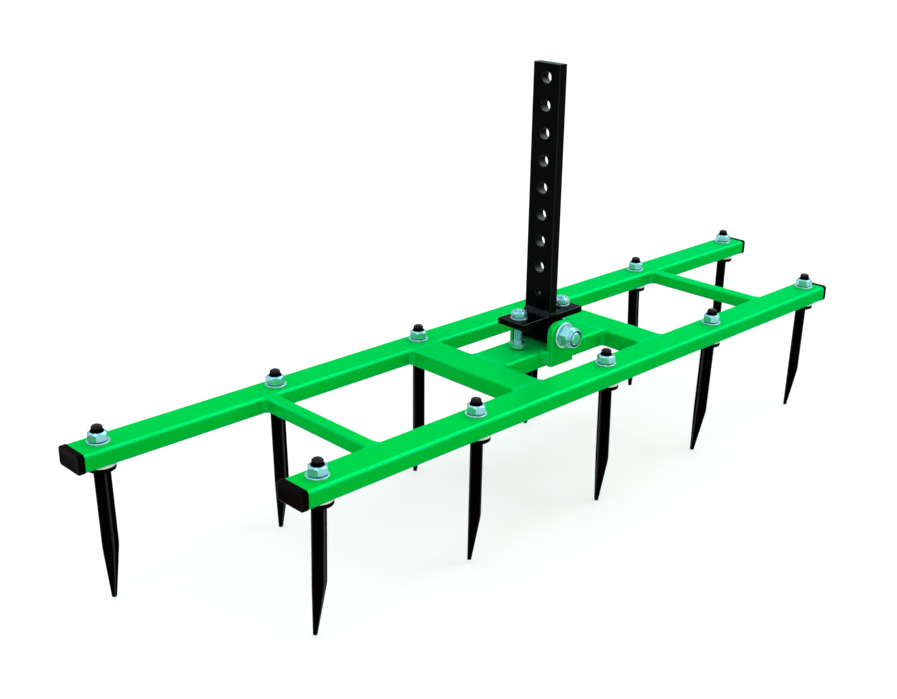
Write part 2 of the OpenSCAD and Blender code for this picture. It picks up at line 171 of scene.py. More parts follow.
def outward(outline: Array) -> Array:
    """Outward directions at the points of a counter-clockwise outline.

    n = (a + b) / (1 + a . b), with a and b the normals of the two sides at the point, so that
    a step of length s along n moves both sides out by s.
    """
    along = unit(np.roll(outline, -1, 0) - outline)
    normal = np.stack([along[:, 1], -along[:, 0]], 1)
    before = np.roll(normal, 1, 0)
    return (normal + before) / (1 + (normal * before).sum(1, keepdims=True))


def even_walk(outline: Array, step: float) -> Array:
    """Points of a closed outline at equal distances along it, about one step apart."""
    closed = np.concatenate([outline, outline[:1]])
    run = np.concatenate([[0], np.cumsum(np.linalg.norm(np.diff(closed, axis=0), axis=1))])
    places = np.linspace(0, run[-1], max(8, round(run[-1] / step)), endpoint=False)
    return np.stack([np.interp(places, run, closed[:, k]) for k in range(2)], 1)


def quarter(steps: int) -> Array:
    """Angles from zero to a quarter turn."""
    return np.linspace(0, math.pi / 2, steps + 1)


def quarter_round(radius: float, steps: int = EDGE_STEPS) -> list[tuple[float, float, float]]:
    """Quarter round from a face to a wall, with a from 0 to a quarter turn.

    Args:
        radius: Its radius.
        steps: Its steps.

    Returns:
        At each point radius * (1 - sin a) back from the wall, radius * (1 - cos a) in from the face, and the
        edge mark sin 2 a, which shows as wear and as a painted highlight.
    """
    return [(radius * (1 - math.sin(a)), radius * (1 - math.cos(a)), math.sin(2 * a)) for a in quarter(steps)]


def wall_profile(low: float, high: float, bevel: float) -> list[tuple[float, float, float]]:
    """Way up a wall whose two edges are broken by quarter rounds.

    Args:
        low: Place of the lower face.
        high: Place of the upper face.
        bevel: Radius of the broken edges.

    Returns:
        How far each point stands back, its place and its edge mark of wear and painted highlight, upwards.
    """
    edge = quarter_round(bevel)
    lower = [(back, low + depth, wear) for back, depth, wear in edge]
    return lower + [(back, high - depth, wear) for back, depth, wear in edge[::-1]]


@dataclass
class Surface:
    """Grids of points that become one closed mesh when their rims are welded."""

    points: list[Array] = field(default_factory=list)
    faces: list[Array] = field(default_factory=list)
    wear: list[Array] = field(default_factory=list)
    count: int = 0

    def patch(self, grid: Array, wear: float | Array = 0.0, around: bool = False) -> "Surface":
        """Adds one grid.

        Args:
            grid: Points in rows and columns.
            wear: Edge mark from 0 to 1, shown as thinned or rubbed finish and as a painted highlight, where
                rows and columns follow the grid or stand for all of it.
            around: Whether the last column meets the first.

        Returns:
            This surface.
        """
        worn = np.broadcast_to(wear, grid.shape[:2])
        if around:
            grid = np.concatenate([grid, grid[:, :1]], 1)
            worn = np.concatenate([worn, worn[:, :1]], 1)
        rows, columns = grid.shape[:2]
        index = self.count + np.arange(rows * columns).reshape(rows, columns)
        quads = np.stack([index[:-1, :-1], index[:-1, 1:], index[1:, 1:], index[1:, :-1]], -1)
        self.points.append(grid.reshape(-1, 3))
        self.faces.append(quads.reshape(-1, 4))
        self.wear.append(worn.reshape(-1))
        self.count += rows * columns
        return self

    def add(self, other: "Surface", place: Matrix | None = None) -> "Surface":
        """Adds another surface, moved by a matrix if one is given."""
        matrix = np.array(place) if place is not None else np.eye(4)
        for points, faces, wear in zip(other.points, other.faces, other.wear):
            self.points.append(points @ matrix[:3, :3].T + matrix[:3, 3])
            self.faces.append(faces + self.count)
            self.wear.append(wear)
        self.count += other.count
        return self

    def at(self, place: Matrix) -> "Surface":
        """Copy of this surface, moved by a matrix."""
        return Surface().add(self, place)

    def mesh(self, name: str, crease: float) -> bpy.types.Mesh:
        """Makes the welded mesh, with its faces outwards.

        Args:
            name: Name of the mesh.
            crease: Angle in degrees past which an edge stays sharp in the shading.

        Returns:
            The mesh, with the point attribute of the edge mark, which holds wear and painted highlights.
        """
        mesh = bpy.data.meshes.new(name)
        faces = np.concatenate(self.faces)
        mesh.vertices.add(self.count)
        mesh.vertices.foreach_set("co", np.concatenate(self.points).astype(np.float32).ravel())
        mesh.loops.add(faces.size)
        mesh.loops.foreach_set("vertex_index", faces.astype(np.int32).ravel())
        mesh.polygons.add(len(faces))
        mesh.polygons.foreach_set("loop_start", np.arange(0, faces.size, 4, dtype=np.int32))
        mesh.update(calc_edges=True)
        worn = mesh.attributes.new("edge_wear", "FLOAT", "POINT")
        worn.data.foreach_set("value", np.concatenate(self.wear).astype(np.float32))
        shell = bmesh.new()
        shell.from_mesh(mesh)
        bmesh.ops.remove_doubles(shell, verts=shell.verts, dist=WELD_DISTANCE)
        bmesh.ops.dissolve_degenerate(shell, edges=shell.edges, dist=WELD_DISTANCE / 10)
        bmesh.ops.recalc_face_normals(shell, faces=shell.faces)
        shell.to_mesh(mesh)
        shell.free()
        mesh.shade_smooth()
        mesh.set_sharp_from_angle(angle=math.radians(crease))
        return mesh


def moved(x: float = 0.0, y: float = 0.0, z: float = 0.0, turn: float = 0.0) -> Matrix:
    """Matrix that turns by an angle in degrees about Z and then moves by (x, y, z)."""
    return Matrix.Translation((x, y, z)) @ Matrix.Rotation(math.radians(turn), 4, "Z")


def loft(rings: list[Array], wear: list[float] | float = 0.0) -> Surface:
    """Skin through closed rings of points, in order.

    Args:
        rings: Rings with equally many points.
        wear: Edge wear of each ring, or of all.

    Returns:
        The surface, open at its first and last ring.
    """
    worn = np.broadcast_to(np.asarray(wear, float), len(rings))[:, None]
    return Surface().patch(np.stack(rings), worn, around=True)


def closed_loft(rings: list[Array], wear: list[float] | float = 0.0) -> Surface:
    """Skin through closed rings whose last one meets the first, such as a washer's."""
    worn = np.broadcast_to(np.asarray(wear, float), len(rings))
    return loft(rings + rings[:1], list(worn) + [worn[0]])


def bevelled_ring(inner: Array, outer: Array, low: float, high: float, bevel: float, axis: Axis) -> Surface:
    """Flat piece between two outlines, such as a plate with a hole, with all its edges broken.

    Args:
        inner: Outline of the hole, counter-clockwise.
        outer: Outline of the piece, with as many points as the hole's.
        low: Place of one face along the axis.
        high: Place of the other face.
        bevel: Radius of the broken edges.
        axis: The axis across the faces.

    Returns:
        The closed surface.
    """
    profile = wall_profile(low, high, bevel)
    rings = []
    for outline, into, way in ((outer, -outward(outer), profile[::-1]), (inner, outward(inner), profile)):
        rings += [lift(outline + into * back, level, axis) for back, level, _ in way]
    return closed_loft(rings, [wear for _, _, wear in profile[::-1] + profile])


def washer(outer: float, inner: float, thickness: float, edge: float) -> Surface:
    """Stamped flat ring that lies on z = 0, with its edges broken."""
    angles = full_turn(CIRCLE_STEPS)
    return bevelled_ring(circle(angles, inner), circle(angles, outer), 0, thickness, edge, Axis.Z)


def hexagon(across: float) -> Array:
    """Hexagon outline of the given width across its flats, with slightly round corners."""
    corners = circle(full_turn(6), across / 2 / math.cos(math.pi / 6))
    return rounded_polygon(corners, HEX_CORNER, corner_steps=2, flat_steps=10)


def hex_ends(outline: Array, across: float) -> tuple[Array, Array]:
    """Rim of a turned end face of a hexagon, and the depth of the chamfer at each point.

    The chamfer is the cone that leaves the face at radius f, so it meets the hexagon at
    depth (|p| - f) tan 38 degrees, which draws the arc on each flat.

    Args:
        outline: The hexagon's outline.
        across: Its width across the flats.

    Returns:
        The rim of the face and the depths.
    """
    reach = np.linalg.norm(outline, axis=1)
    face = across / 2 * HEX_FACE_SHARE
    rim = outline / reach[:, None] * face
    return rim, (reach - face) * math.tan(HEX_CHAMFER)


@dataclass(frozen=True)
class Thread:
    """Rolled metric thread.

    Its depth is a share of the pitch. Its triangle wave is stretched and lowered, which cuts it
    off flat at crest and root. end_slope is the height of the end's cone for each unit of radius.
    """

    diameter: float
    pitch: float
    rows_per_turn: int = 8
    depth_share: float = 0.61
    stretch: float = 1.35
    lowering: float = 0.2
    end_slope: float = 1.3

    def rings(self, angles: Array, low: float, high: float, end_chamfer: float) -> list[Array]:
        """Rings of the thread from low to high, with a chamfered upper end.

        The radius is r - depth_share * pitch * ridge, where ridge is the flattened wave of
        z / pitch - angle / turn. It fades in over the first pitch, and a cone of end_chamfer
        over end_slope * end_chamfer cuts it at the end.

        Args:
            angles: Angles of the points of a ring.
            low: Height at which the thread starts.
            high: Height of its end.
            end_chamfer: How much smaller the radius is at the end.

        Returns:
            The rings, upwards.
        """
        count = max(2, round((high - low) / self.pitch * self.rows_per_turn))
        z = np.linspace(low, high, count + 1)[:, None]
        phase = (z - low) / self.pitch - angles[None] / math.tau
        wave = np.abs(2 * (phase - np.floor(phase)) - 1)
        ridge = np.clip(wave * self.stretch - self.lowering, 0, 1)
        fade = np.clip((z - low) / self.pitch, 0, 1)
        radius = self.diameter / 2 - self.depth_share * self.pitch * ridge * fade
        cone = self.diameter / 2 - end_chamfer + (high - z) / self.end_slope
        return list(lift(circle(angles, np.minimum(radius, cone)[..., None]), z))


def hex_nut(across: float, height: float, bore: float, countersink: float) -> Surface:
    """Hexagon nut that stands on z = 0, with both faces turned down and both rims countersunk."""
    outline = hexagon(across)
    face, depth = hex_ends(outline, across)
    round_to = unit(outline)
    mouth = round_to * (bore + countersink)
    throat = round_to * bore
    rings = [
        lift(throat, countersink), lift(mouth, 0), lift(face, 0), lift(outline, depth),
        lift(outline, height - depth), lift(face, height), lift(mouth, height),
        lift(throat, height - countersink),
    ]
    return closed_loft(rings)


def hex_bolt(
    across: float, head: float, thread: Thread, length: float, plain: float, chamfer: float
) -> Surface:
    """Hexagon bolt with the underside of its head on z = 0 and its thread upwards.

    Args:
        across: Width of the head across its flats.
        head: Height of the head.
        thread: The thread at the end of the shank.
        length: Length of the shank.
        plain: Length of the shank below the thread.
        chamfer: Chamfer at the end of the thread.

    Returns:
        The closed surface.
    """
    outline = hexagon(across)
    face, depth = hex_ends(outline, across)
    angles = np.arctan2(outline[:, 1], outline[:, 0])
    radius = thread.diameter / 2
    fillet = 0.6 * MM
    end_ring = 0.55
    rings = [lift(face * 0, -head), lift(face, -head), lift(outline, depth - head), lift(outline, 0)]
    rings += [lift(circle(angles, radius + out), up) for out, up, _ in quarter_round(fillet)]
    rings += [lift(circle(angles, radius), plain)]
    rings += thread.rings(angles, plain, length, chamfer)
    rings += [lift(circle(angles, radius * share), length) for share in (end_ring, 0)]
    return loft(rings)


@dataclass(frozen=True)
class Ripple:
    """Scales that a weld pool leaves along a bead."""

    spacing: float
    height: float
    wander: float = 0.0

    def field(self, run: Array, across: Array, closed: bool) -> Array:
        """Height of the scales over the bead, as height * (|sin| - 1 / 2) of curved rows.

        The rows bend back by a third of their spacing towards both toes, and wander adds the
        slow swell.

        Args:
            run: Distance of each station along the bead.
            across: Place across the bead, from 0 at one toe to 1 at the other.
            closed: Whether the bead runs into itself, which needs a whole number of scales.

        Returns:
            Heights in rows of stations.
        """
        total = run[-1] + (run[1] - run[0] if closed else 0)
        turns = max(1, round(total / self.spacing))
        bend = (2 * across[None] - 1) ** 2 / 3
        scales = np.abs(np.sin(math.pi * (run[:, None] / total * turns + bend))) - 0.5
        swell = waves(math.tau * run[:, None] / total, SWELL_WAVES)
        return self.height * scales + self.wander * swell / sum(share for *_, share in SWELL_WAVES)


@dataclass
class Bead:
    """Weld bead between two toe lines, with its root sunk between the parts that it joins."""

    upper: Array
    lower: Array
    root: Array
    swell: Array
    ripple: Ripple
    closed: bool
    steps: int = 9
    # Edge mark over the whole bead, which its finish shows as a painted highlight on the bead.
    wear: float = 0.35

    def surface(self) -> Surface:
        """Sweeps the bead's face.

        At share t across, the face is upper (1 - t) + lower t, plus the swell and the ripple
        times 4 t (1 - t) along the direction from the root.

        Returns:
            The closed surface.
        """
        across = np.linspace(0, 1, self.steps)
        middle = (self.upper + self.lower) / 2
        run = np.concatenate([[0], np.cumsum(np.linalg.norm(np.diff(middle, axis=0), axis=1))])
        away = unit(middle - self.root)
        rise = np.broadcast_to(self.swell, len(run))[:, None] + self.ripple.field(run, across, self.closed)
        hump = (4 * across * (1 - across))[None] * rise
        flat = self.upper[:, None] * (1 - across)[None, :, None] + self.lower[:, None] * across[None, :, None]
        face = flat + away[:, None] * hump[..., None]
        loop = np.concatenate([face, self.root[:, None]], 1)
        if self.closed:
            loop = np.concatenate([loop, loop[:1]])
        else:
            ends = np.broadcast_to(loop.mean(1, keepdims=True), loop.shape)
            loop = np.concatenate([ends[:1], loop, ends[-1:]])
        return Surface().patch(loop, self.wear, around=True)


def waves(angles: Array, terms: tuple[tuple[float, float, float], ...]) -> Array:
    """Sum of share * sin(count * angle + phase) over the terms (count, phase, share)."""
    return sum(share * np.sin(count * angles + phase) for count, phase, share in terms)


def run_out(stations: int, power: int) -> Array:
    """Size of a straight bead along it: 0.5 + 0.5 sqrt(1 - s ^ power), with s from -1 to 1."""
    return 0.5 + 0.5 * np.sqrt(1 - np.linspace(-1, 1, stations) ** power)


def node_box(node: str) -> tuple[Array, Array]:
    """Lowest and highest corner of a node of the frame, as arrays."""
    low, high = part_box(node)
    return np.array(low), np.array(high)


def node_body(node: str) -> str:
    """Name of the moving body that a node of the frame belongs to."""
    bodies = frame["record"]["behaviour"]["bodies"]
    return next(body for body, members in bodies.items() if node in members)


def linear(colour: str) -> tuple[float, float, float, float]:
    """Turns an sRGB hex colour to linear: c / 12.92 up to 0.04045, else ((c + 0.055) / 1.055) ^ 2.4."""
    levels = [int(colour[k:k + 2], 16) / 255 for k in (1, 3, 5)]
    red, green, blue = (c / 12.92 if c <= 0.04045 else ((c + 0.055) / 1.055) ** 2.4 for c in levels)
    return red, green, blue, 1.0


def empty_tree(owner: bpy.types.Material | bpy.types.World) -> bpy.types.NodeTree:
    """Node tree of a material or world, without any node."""
    owner.use_nodes = True
    owner.node_tree.nodes.clear()
    return owner.node_tree


def add_object(name: str, data: bpy.types.ID) -> bpy.types.Object:
    """Adds an object with the given data to the scene."""
    thing = bpy.data.objects.new(name, data)
    bpy.context.scene.collection.objects.link(thing)
    return thing


def add_node(
    tree: bpy.types.NodeTree, kind: str, inputs: dict | None = None, **settings: object
) -> bpy.types.Node:
    """Adds a shader node with its settings and links.

    Args:
        tree: The node tree.
        kind: The node's type name.
        inputs: For each input, by name or index, a value or the output that it is linked to.
        **settings: Attributes of the node itself.

    Returns:
        The node.
    """
    node = tree.nodes.new(kind)
    for name, value in settings.items():
        setattr(node, name, value)
    for key, value in (inputs or {}).items():
        if isinstance(value, bpy.types.NodeSocket):
            tree.links.new(value, node.inputs[key])
        else:
            node.inputs[key].default_value = value
    return node


@dataclass(frozen=True)
class Finish:
    """Surface finish that one material shows: two tones, marked edges, gloss and a fine relief.

    The sizes in mm are those of the clouds of tone, of the patches that break up the edge mark and the
    roughness, and of the relief. The edge mark is wear and, in several finishes, a painted highlight: marked
    edges show edge_colour by edge_share in the strongest patches and by a smaller share in the weakest, and
    grow glossier towards edge_specular. Nearly all of a noise lies inside noise_range.
    """

    name: str
    slot: str
    colour: str
    second_colour: str
    edge_colour: str
    tone_mm: float
    edge_share: float
    roughness: float
    roughness_spread: float
    patch_mm: float
    relief_mm: float
    relief_depth_mm: float
    metallic: float = 0.0
    specular: float = 0.5
    edge_specular: float = 0.0
    tint: str = "#FFFFFF"
    sheen: float = 0.0
    sheen_tint: str = "#FFFFFF"
    sheen_roughness: float = 0.35
    patch_least: float = 0.6
    noise_range: tuple[float, float] = (0.3, 0.7)

    def material(self) -> bpy.types.Material:
        """Builds the node material on Object coordinates, once for each finish."""
        known = bpy.data.materials.get(self.name)
        if known:
            return known
        material = bpy.data.materials.new(self.name)
        tree = empty_tree(material)
        place = add_node(tree, "ShaderNodeTexCoord").outputs["Object"]
        tone, patches, grain = (
            add_node(tree, "ShaderNodeTexNoise", {"Vector": place, "Scale": 1 / MM / size, "Detail": detail})
            for size, detail in ((self.tone_mm, 4.0), (self.patch_mm, 3.0), (self.relief_mm, 2.0)))
        low, high = self.noise_range
        patchy = {"Value": patches.outputs["Fac"], "From Min": low, "From Max": high}
        share = add_node(tree, "ShaderNodeMapRange", patchy | {
            "To Min": self.edge_share * self.patch_least, "To Max": self.edge_share})
        gloss = add_node(tree, "ShaderNodeMapRange", patchy | {
            "To Min": self.roughness - self.roughness_spread,
            "To Max": self.roughness + self.roughness_spread})
        worn = add_node(tree, "ShaderNodeAttribute", attribute_name="edge_wear")
        # Edge mark: wear, and in several finishes a painted highlight, mixed in as edge_colour with more
        # gloss.
        wear_and_highlight = add_node(tree, "ShaderNodeMath", {
            0: worn.outputs["Fac"], 1: share.outputs[0]}, operation="MULTIPLY").outputs[0]
        body = add_node(tree, "ShaderNodeMix", {
            MIX_FACTOR: tone.outputs["Fac"], MIX_FIRST: linear(self.colour),
            MIX_SECOND: linear(self.second_colour)}, data_type="RGBA")
        colour = add_node(tree, "ShaderNodeMix", {
            MIX_FACTOR: wear_and_highlight, MIX_FIRST: body.outputs[MIX_RESULT],
            MIX_SECOND: linear(self.edge_colour)}, data_type="RGBA")
        relief = add_node(tree, "ShaderNodeBump", {
            "Height": grain.outputs["Fac"], "Strength": 1.0, "Distance": self.relief_depth_mm * MM})
        shine = self.specular
        if self.edge_specular:
            shine = add_node(tree, "ShaderNodeMapRange", {
                "Value": wear_and_highlight, "To Min": self.specular, "To Max": self.edge_specular}).outputs[0]
        shader = add_node(tree, "ShaderNodeBsdfPrincipled", {
            "Base Color": colour.outputs[MIX_RESULT], "Roughness": gloss.outputs[0],
            "Normal": relief.outputs[0], "Metallic": self.metallic, "Specular IOR Level": shine,
            "Specular Tint": linear(self.tint), "Sheen Weight": self.sheen,
            "Sheen Roughness": self.sheen_roughness, "Sheen Tint": linear(self.sheen_tint)})
        add_node(tree, "ShaderNodeOutputMaterial", {"Surface": shader.outputs[0]})
        return material


# Gloss powder coat, sprayed dry and baked: an even strong green with a faint orange peel. Its round edges
# turn pale mint, a painted highlight there, where the coat also pulls back a little. The flake in it tints
# its reflections.
POWDER_COAT = Finish(
    name="powder_coat_green", slot="green_paint", colour="#00C236", second_colour="#00B82C",
    edge_colour="#00D87A", tone_mm=60, edge_share=0.7, roughness=0.3, roughness_spread=0.03, patch_mm=25,
    relief_mm=2.2, relief_depth_mm=0.02, metallic=0.25, specular=0.0, tint="#00FFF0",
    sheen=0.35, sheen_tint="#00FFE4")

# Black gloss enamel, brushed over hot-rolled flat bar: deep black. Where it is thin on the edges, on the weld
# beads and on the lower walls of the pin holes it is glossier and shows a painted blue-grey highlight.
BLACK_ENAMEL = Finish(
    name="black_enamel", slot="black_paint", colour="#040405", second_colour="#060505",
    edge_colour="#10141E", tone_mm=30, edge_share=0.8, roughness=0.12, roughness_spread=0.03, patch_mm=5,
    relief_mm=3.5, relief_depth_mm=0.03, specular=0.016, edge_specular=0.4)

# Black stoving paint on forged bar: satin black. Its arrises and the dome of the stud show a painted
# brown-grey highlight and are glossier there.
TINE_PAINT = Finish(
    name="tine_stoving_black", slot="black_paint", colour="#040303", second_colour="#060404",
    edge_colour="#32242A", tone_mm=18, edge_share=0.7, roughness=0.2, roughness_spread=0.06, patch_mm=3.5,
    relief_mm=2.4, relief_depth_mm=0.06, specular=0.0, edge_specular=0.12)

# Injection moulded polyethylene: warm black and half matt, with the fine grain of the mould.
CAP_PLASTIC = Finish(
    name="moulded_polyethylene", slot="black_plastic", colour="#060202", second_colour="#0C0503",
    edge_colour="#0C0809", tone_mm=12, edge_share=0.6, roughness=0.25, roughness_spread=0.05, patch_mm=6,
    relief_mm=0.9, relief_depth_mm=0.015, specular=0.004, edge_specular=0.06)

# Electroplated zinc with a clear blue passivation: bright and blue-green in soft clouds, a blue-green
# stronger than the passivation alone gives, as a painted cyan reflection of sky and frame. Its edges turn
# nearly white, a painted highlight.
ZINC_PLATE = Finish(
    name="zinc_plate_bright", slot="zinc_plate", colour="#9CD2D6", second_colour="#84C4CE",
    edge_colour="#F4FFFF", tone_mm=5, edge_share=0.85, roughness=0.25, roughness_spread=0.04, patch_mm=3,
    relief_mm=1.6, relief_depth_mm=0.008, metallic=0.8)

# Electroplated zinc with a straw passivation, half matt. Its colour is nearly white with a faint cream cast,
# lighter than the plating, as painted light for washers that sit in the shade under the beam, and its edges
# turn white as a painted highlight.
ZINC_STRAW = Finish(
    name="zinc_plate_straw", slot="zinc_plate", colour="#FAFCEE", second_colour="#F0F6DC",
    edge_colour="#FFFFFF", tone_mm=5, edge_share=0.5, roughness=0.3, roughness_spread=0.05, patch_mm=3,
    relief_mm=1.1, relief_depth_mm=0.015, metallic=0.15)

# Turned nylon ring of a lock nut: very dark blue-green, satin.
NYLON = Finish(
    name="nylon_ring", slot="nylon", colour="#041820", second_colour="#061C26",
    edge_colour="#0C2630", tone_mm=4, edge_share=0.4, roughness=0.4, roughness_spread=0.05, patch_mm=3,
    relief_mm=0.8, relief_depth_mm=0.01, specular=0.08)


def make_piece(
    name: str, surface: Surface, finish: Finish, nodes: list[str], crease: float = 30.0
) -> bpy.types.Object:
    """Makes a piece that stands for nodes of the frame and rides on their body.

    Args:
        name: Name of the piece.
        surface: Its closed surface, in place.
        finish: Its finish.
        nodes: The nodes that it stands for, all on one body.
        crease: Angle in degrees past which an edge stays sharp in the shading.

    Returns:
        The piece.
    """
    piece = add_object(name, surface.mesh(name, crease))
    piece.data.materials.append(finish.material())
    even = piece.modifiers.new("even_shading", "WEIGHTED_NORMAL")
    even.keep_sharp = True
    even.weight = 60
    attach(piece, node_body(nodes[0]))
    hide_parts(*nodes)
    log.info("%s: %d faces, for %s", name, len(piece.data.polygons), ", ".join(nodes))
    return piece


@dataclass(frozen=True)
class Hole:
    """Round hole in a flat strip, with the stretch of the strip that is meshed around it."""

    centre: float
    radius: float
    low: float
    high: float


def holes_along(
    centres: list[float], radii: list[float], low: float, high: float, reach: float
) -> list[Hole]:
    """Holes of a strip, each with a stretch that ends half-way to its neighbours or at reach."""
    middles = [low] + [(a + b) / 2 for a, b in zip(centres, centres[1:])] + [high]
    return [Hole(c, r, max(a, c - reach), min(b, c + reach))
            for c, r, a, b in zip(centres, radii, middles, middles[1:])]


@dataclass
class Strip:
    """Flat strip with a row of round holes, as grids and rings that share their rim points."""

    low: float
    high: float
    half: float
    holes: list[Hole]
    steps: int = 10

    def across(self) -> Array:
        """Places of the points over the width of the strip."""
        return np.linspace(-self.half, self.half, self.steps + 1)

    def stations(self) -> Array:
        """Places of the points along both long sides of the strip."""
        cells = [np.linspace(hole.low, hole.high, self.steps + 1) for hole in self.holes]
        return np.unique(np.round(np.concatenate([[self.low, self.high], *cells]), 9))

    def cell_rim(self, hole: Hole) -> Array:
        """Walk round the rectangle of one hole's stretch, in equal steps on each side."""
        share = np.arange(self.steps) / self.steps
        along = hole.low + (hole.high - hole.low) * share
        over = self.half * (2 * share - 1)
        sides = [
            (along, np.full(self.steps, -self.half)), (np.full(self.steps, hole.high), over),
            ((hole.low + hole.high) - along, np.full(self.steps, self.half)),
            (np.full(self.steps, hole.low), -over),
        ]
        return np.concatenate([np.stack(side, 1) for side in sides])

    def hole_rim(self, hole: Hole, grow: float = 0.0) -> Array:
        """Rim of a hole, with a point on the ray to each point of the rectangle's rim."""
        ray = self.cell_rim(hole) - (hole.centre, 0)
        return unit(ray) * (hole.radius + grow) + (hole.centre, 0)

    def patches(self, grow: float = 0.0) -> list[Array]:
        """Grids of the flat face, with the holes larger by grow."""
        edges = [self.low] + [end for hole in self.holes for end in (hole.low, hole.high)] + [self.high]
        grids = []
        for start, end in zip(edges[::2], edges[1::2]):
            if end - start > WELD_DISTANCE:
                u, v = np.meshgrid([start, end], self.across(), indexing="ij")
                grids.append(np.stack([u, v], -1))
        for hole in self.holes:
            ring = np.stack([self.cell_rim(hole), self.hole_rim(hole, grow)])
            grids.append(np.concatenate([ring, ring[:, :1]], 1))
        return grids


@dataclass
class Slab:
    """Flat bar with a row of holes through it and all its edges broken."""

    length: tuple[float, float]
    width: float
    thickness: tuple[float, float]
    holes: list[Hole]
    bevel: float
    rim_bevel: float
    hole_wear_and_highlight: float = 0.0

    def surface(self) -> Surface:
        """Builds the slab in its own frame: length along X, width along Y, thickness along Z.

        Each face stands back by the bevel from the sides, and broken edges join them. The wall of a hole
        carries the edge mark at its low X side, as wear where a pin rests and as a painted highlight on the
        lower wall, and none on the other half.

        Returns:
            The closed surface.
        """
        low, high = self.length
        inset = Strip(low + self.bevel, high - self.bevel, self.width / 2 - self.bevel, [
            Hole(h.centre, h.radius, max(h.low, low + self.bevel), min(h.high, high - self.bevel))
            for h in self.holes])
        surface = Surface()
        for level in self.thickness:
            for grid in inset.patches(self.rim_bevel):
                surface.patch(lift(grid, level))
        rim, normal = self.rim(inset)
        sides = wall_profile(*self.thickness, self.bevel)
        surface.patch(np.stack([lift(rim + normal * (self.bevel - back), level) for back, level, _ in sides]),
                      np.array([[wear] for _, _, wear in sides]), around=True)
        walls = wall_profile(*self.thickness, self.rim_bevel)
        for hole in inset.holes:
            # Lower half of the hole's wall: wear where a pin rests, and a painted highlight.
            below = np.clip((hole.centre - inset.hole_rim(hole)[:, 0]) / hole.radius, 0, 1)
            wear = [np.maximum(edge, self.hole_wear_and_highlight * (1 - back / self.rim_bevel) * below)
                    for back, _, edge in walls]
            rings = [lift(inset.hole_rim(hole, back), level) for back, level, _ in walls]
            surface.patch(np.stack(rings), np.stack(wear), around=True)
        return surface

    @staticmethod
    def rim(strip: Strip) -> tuple[Array, Array]:
        """Outline of the strip through all its rim points, with mitred outward directions."""
        along, over = strip.stations(), strip.across()
        sides = [
            (along[:-1], np.full(len(along) - 1, -strip.half), (0, -1)),
            (np.full(len(over) - 1, strip.high), over[:-1], (1, 0)),
            (along[::-1][:-1], np.full(len(along) - 1, strip.half), (0, 1)),
            (np.full(len(over) - 1, strip.low), over[::-1][:-1], (-1, 0)),
        ]
        points, normals, last = [], [], np.array(sides[-1][2], float)
        for u, v, facing in sides:
            own = np.tile(np.array(facing, float), (len(u), 1))
            own[0] += last
            points.append(np.stack([u, v], 1))
            normals.append(own)
            last = np.array(facing, float)
        return np.concatenate(points), np.concatenate(normals)


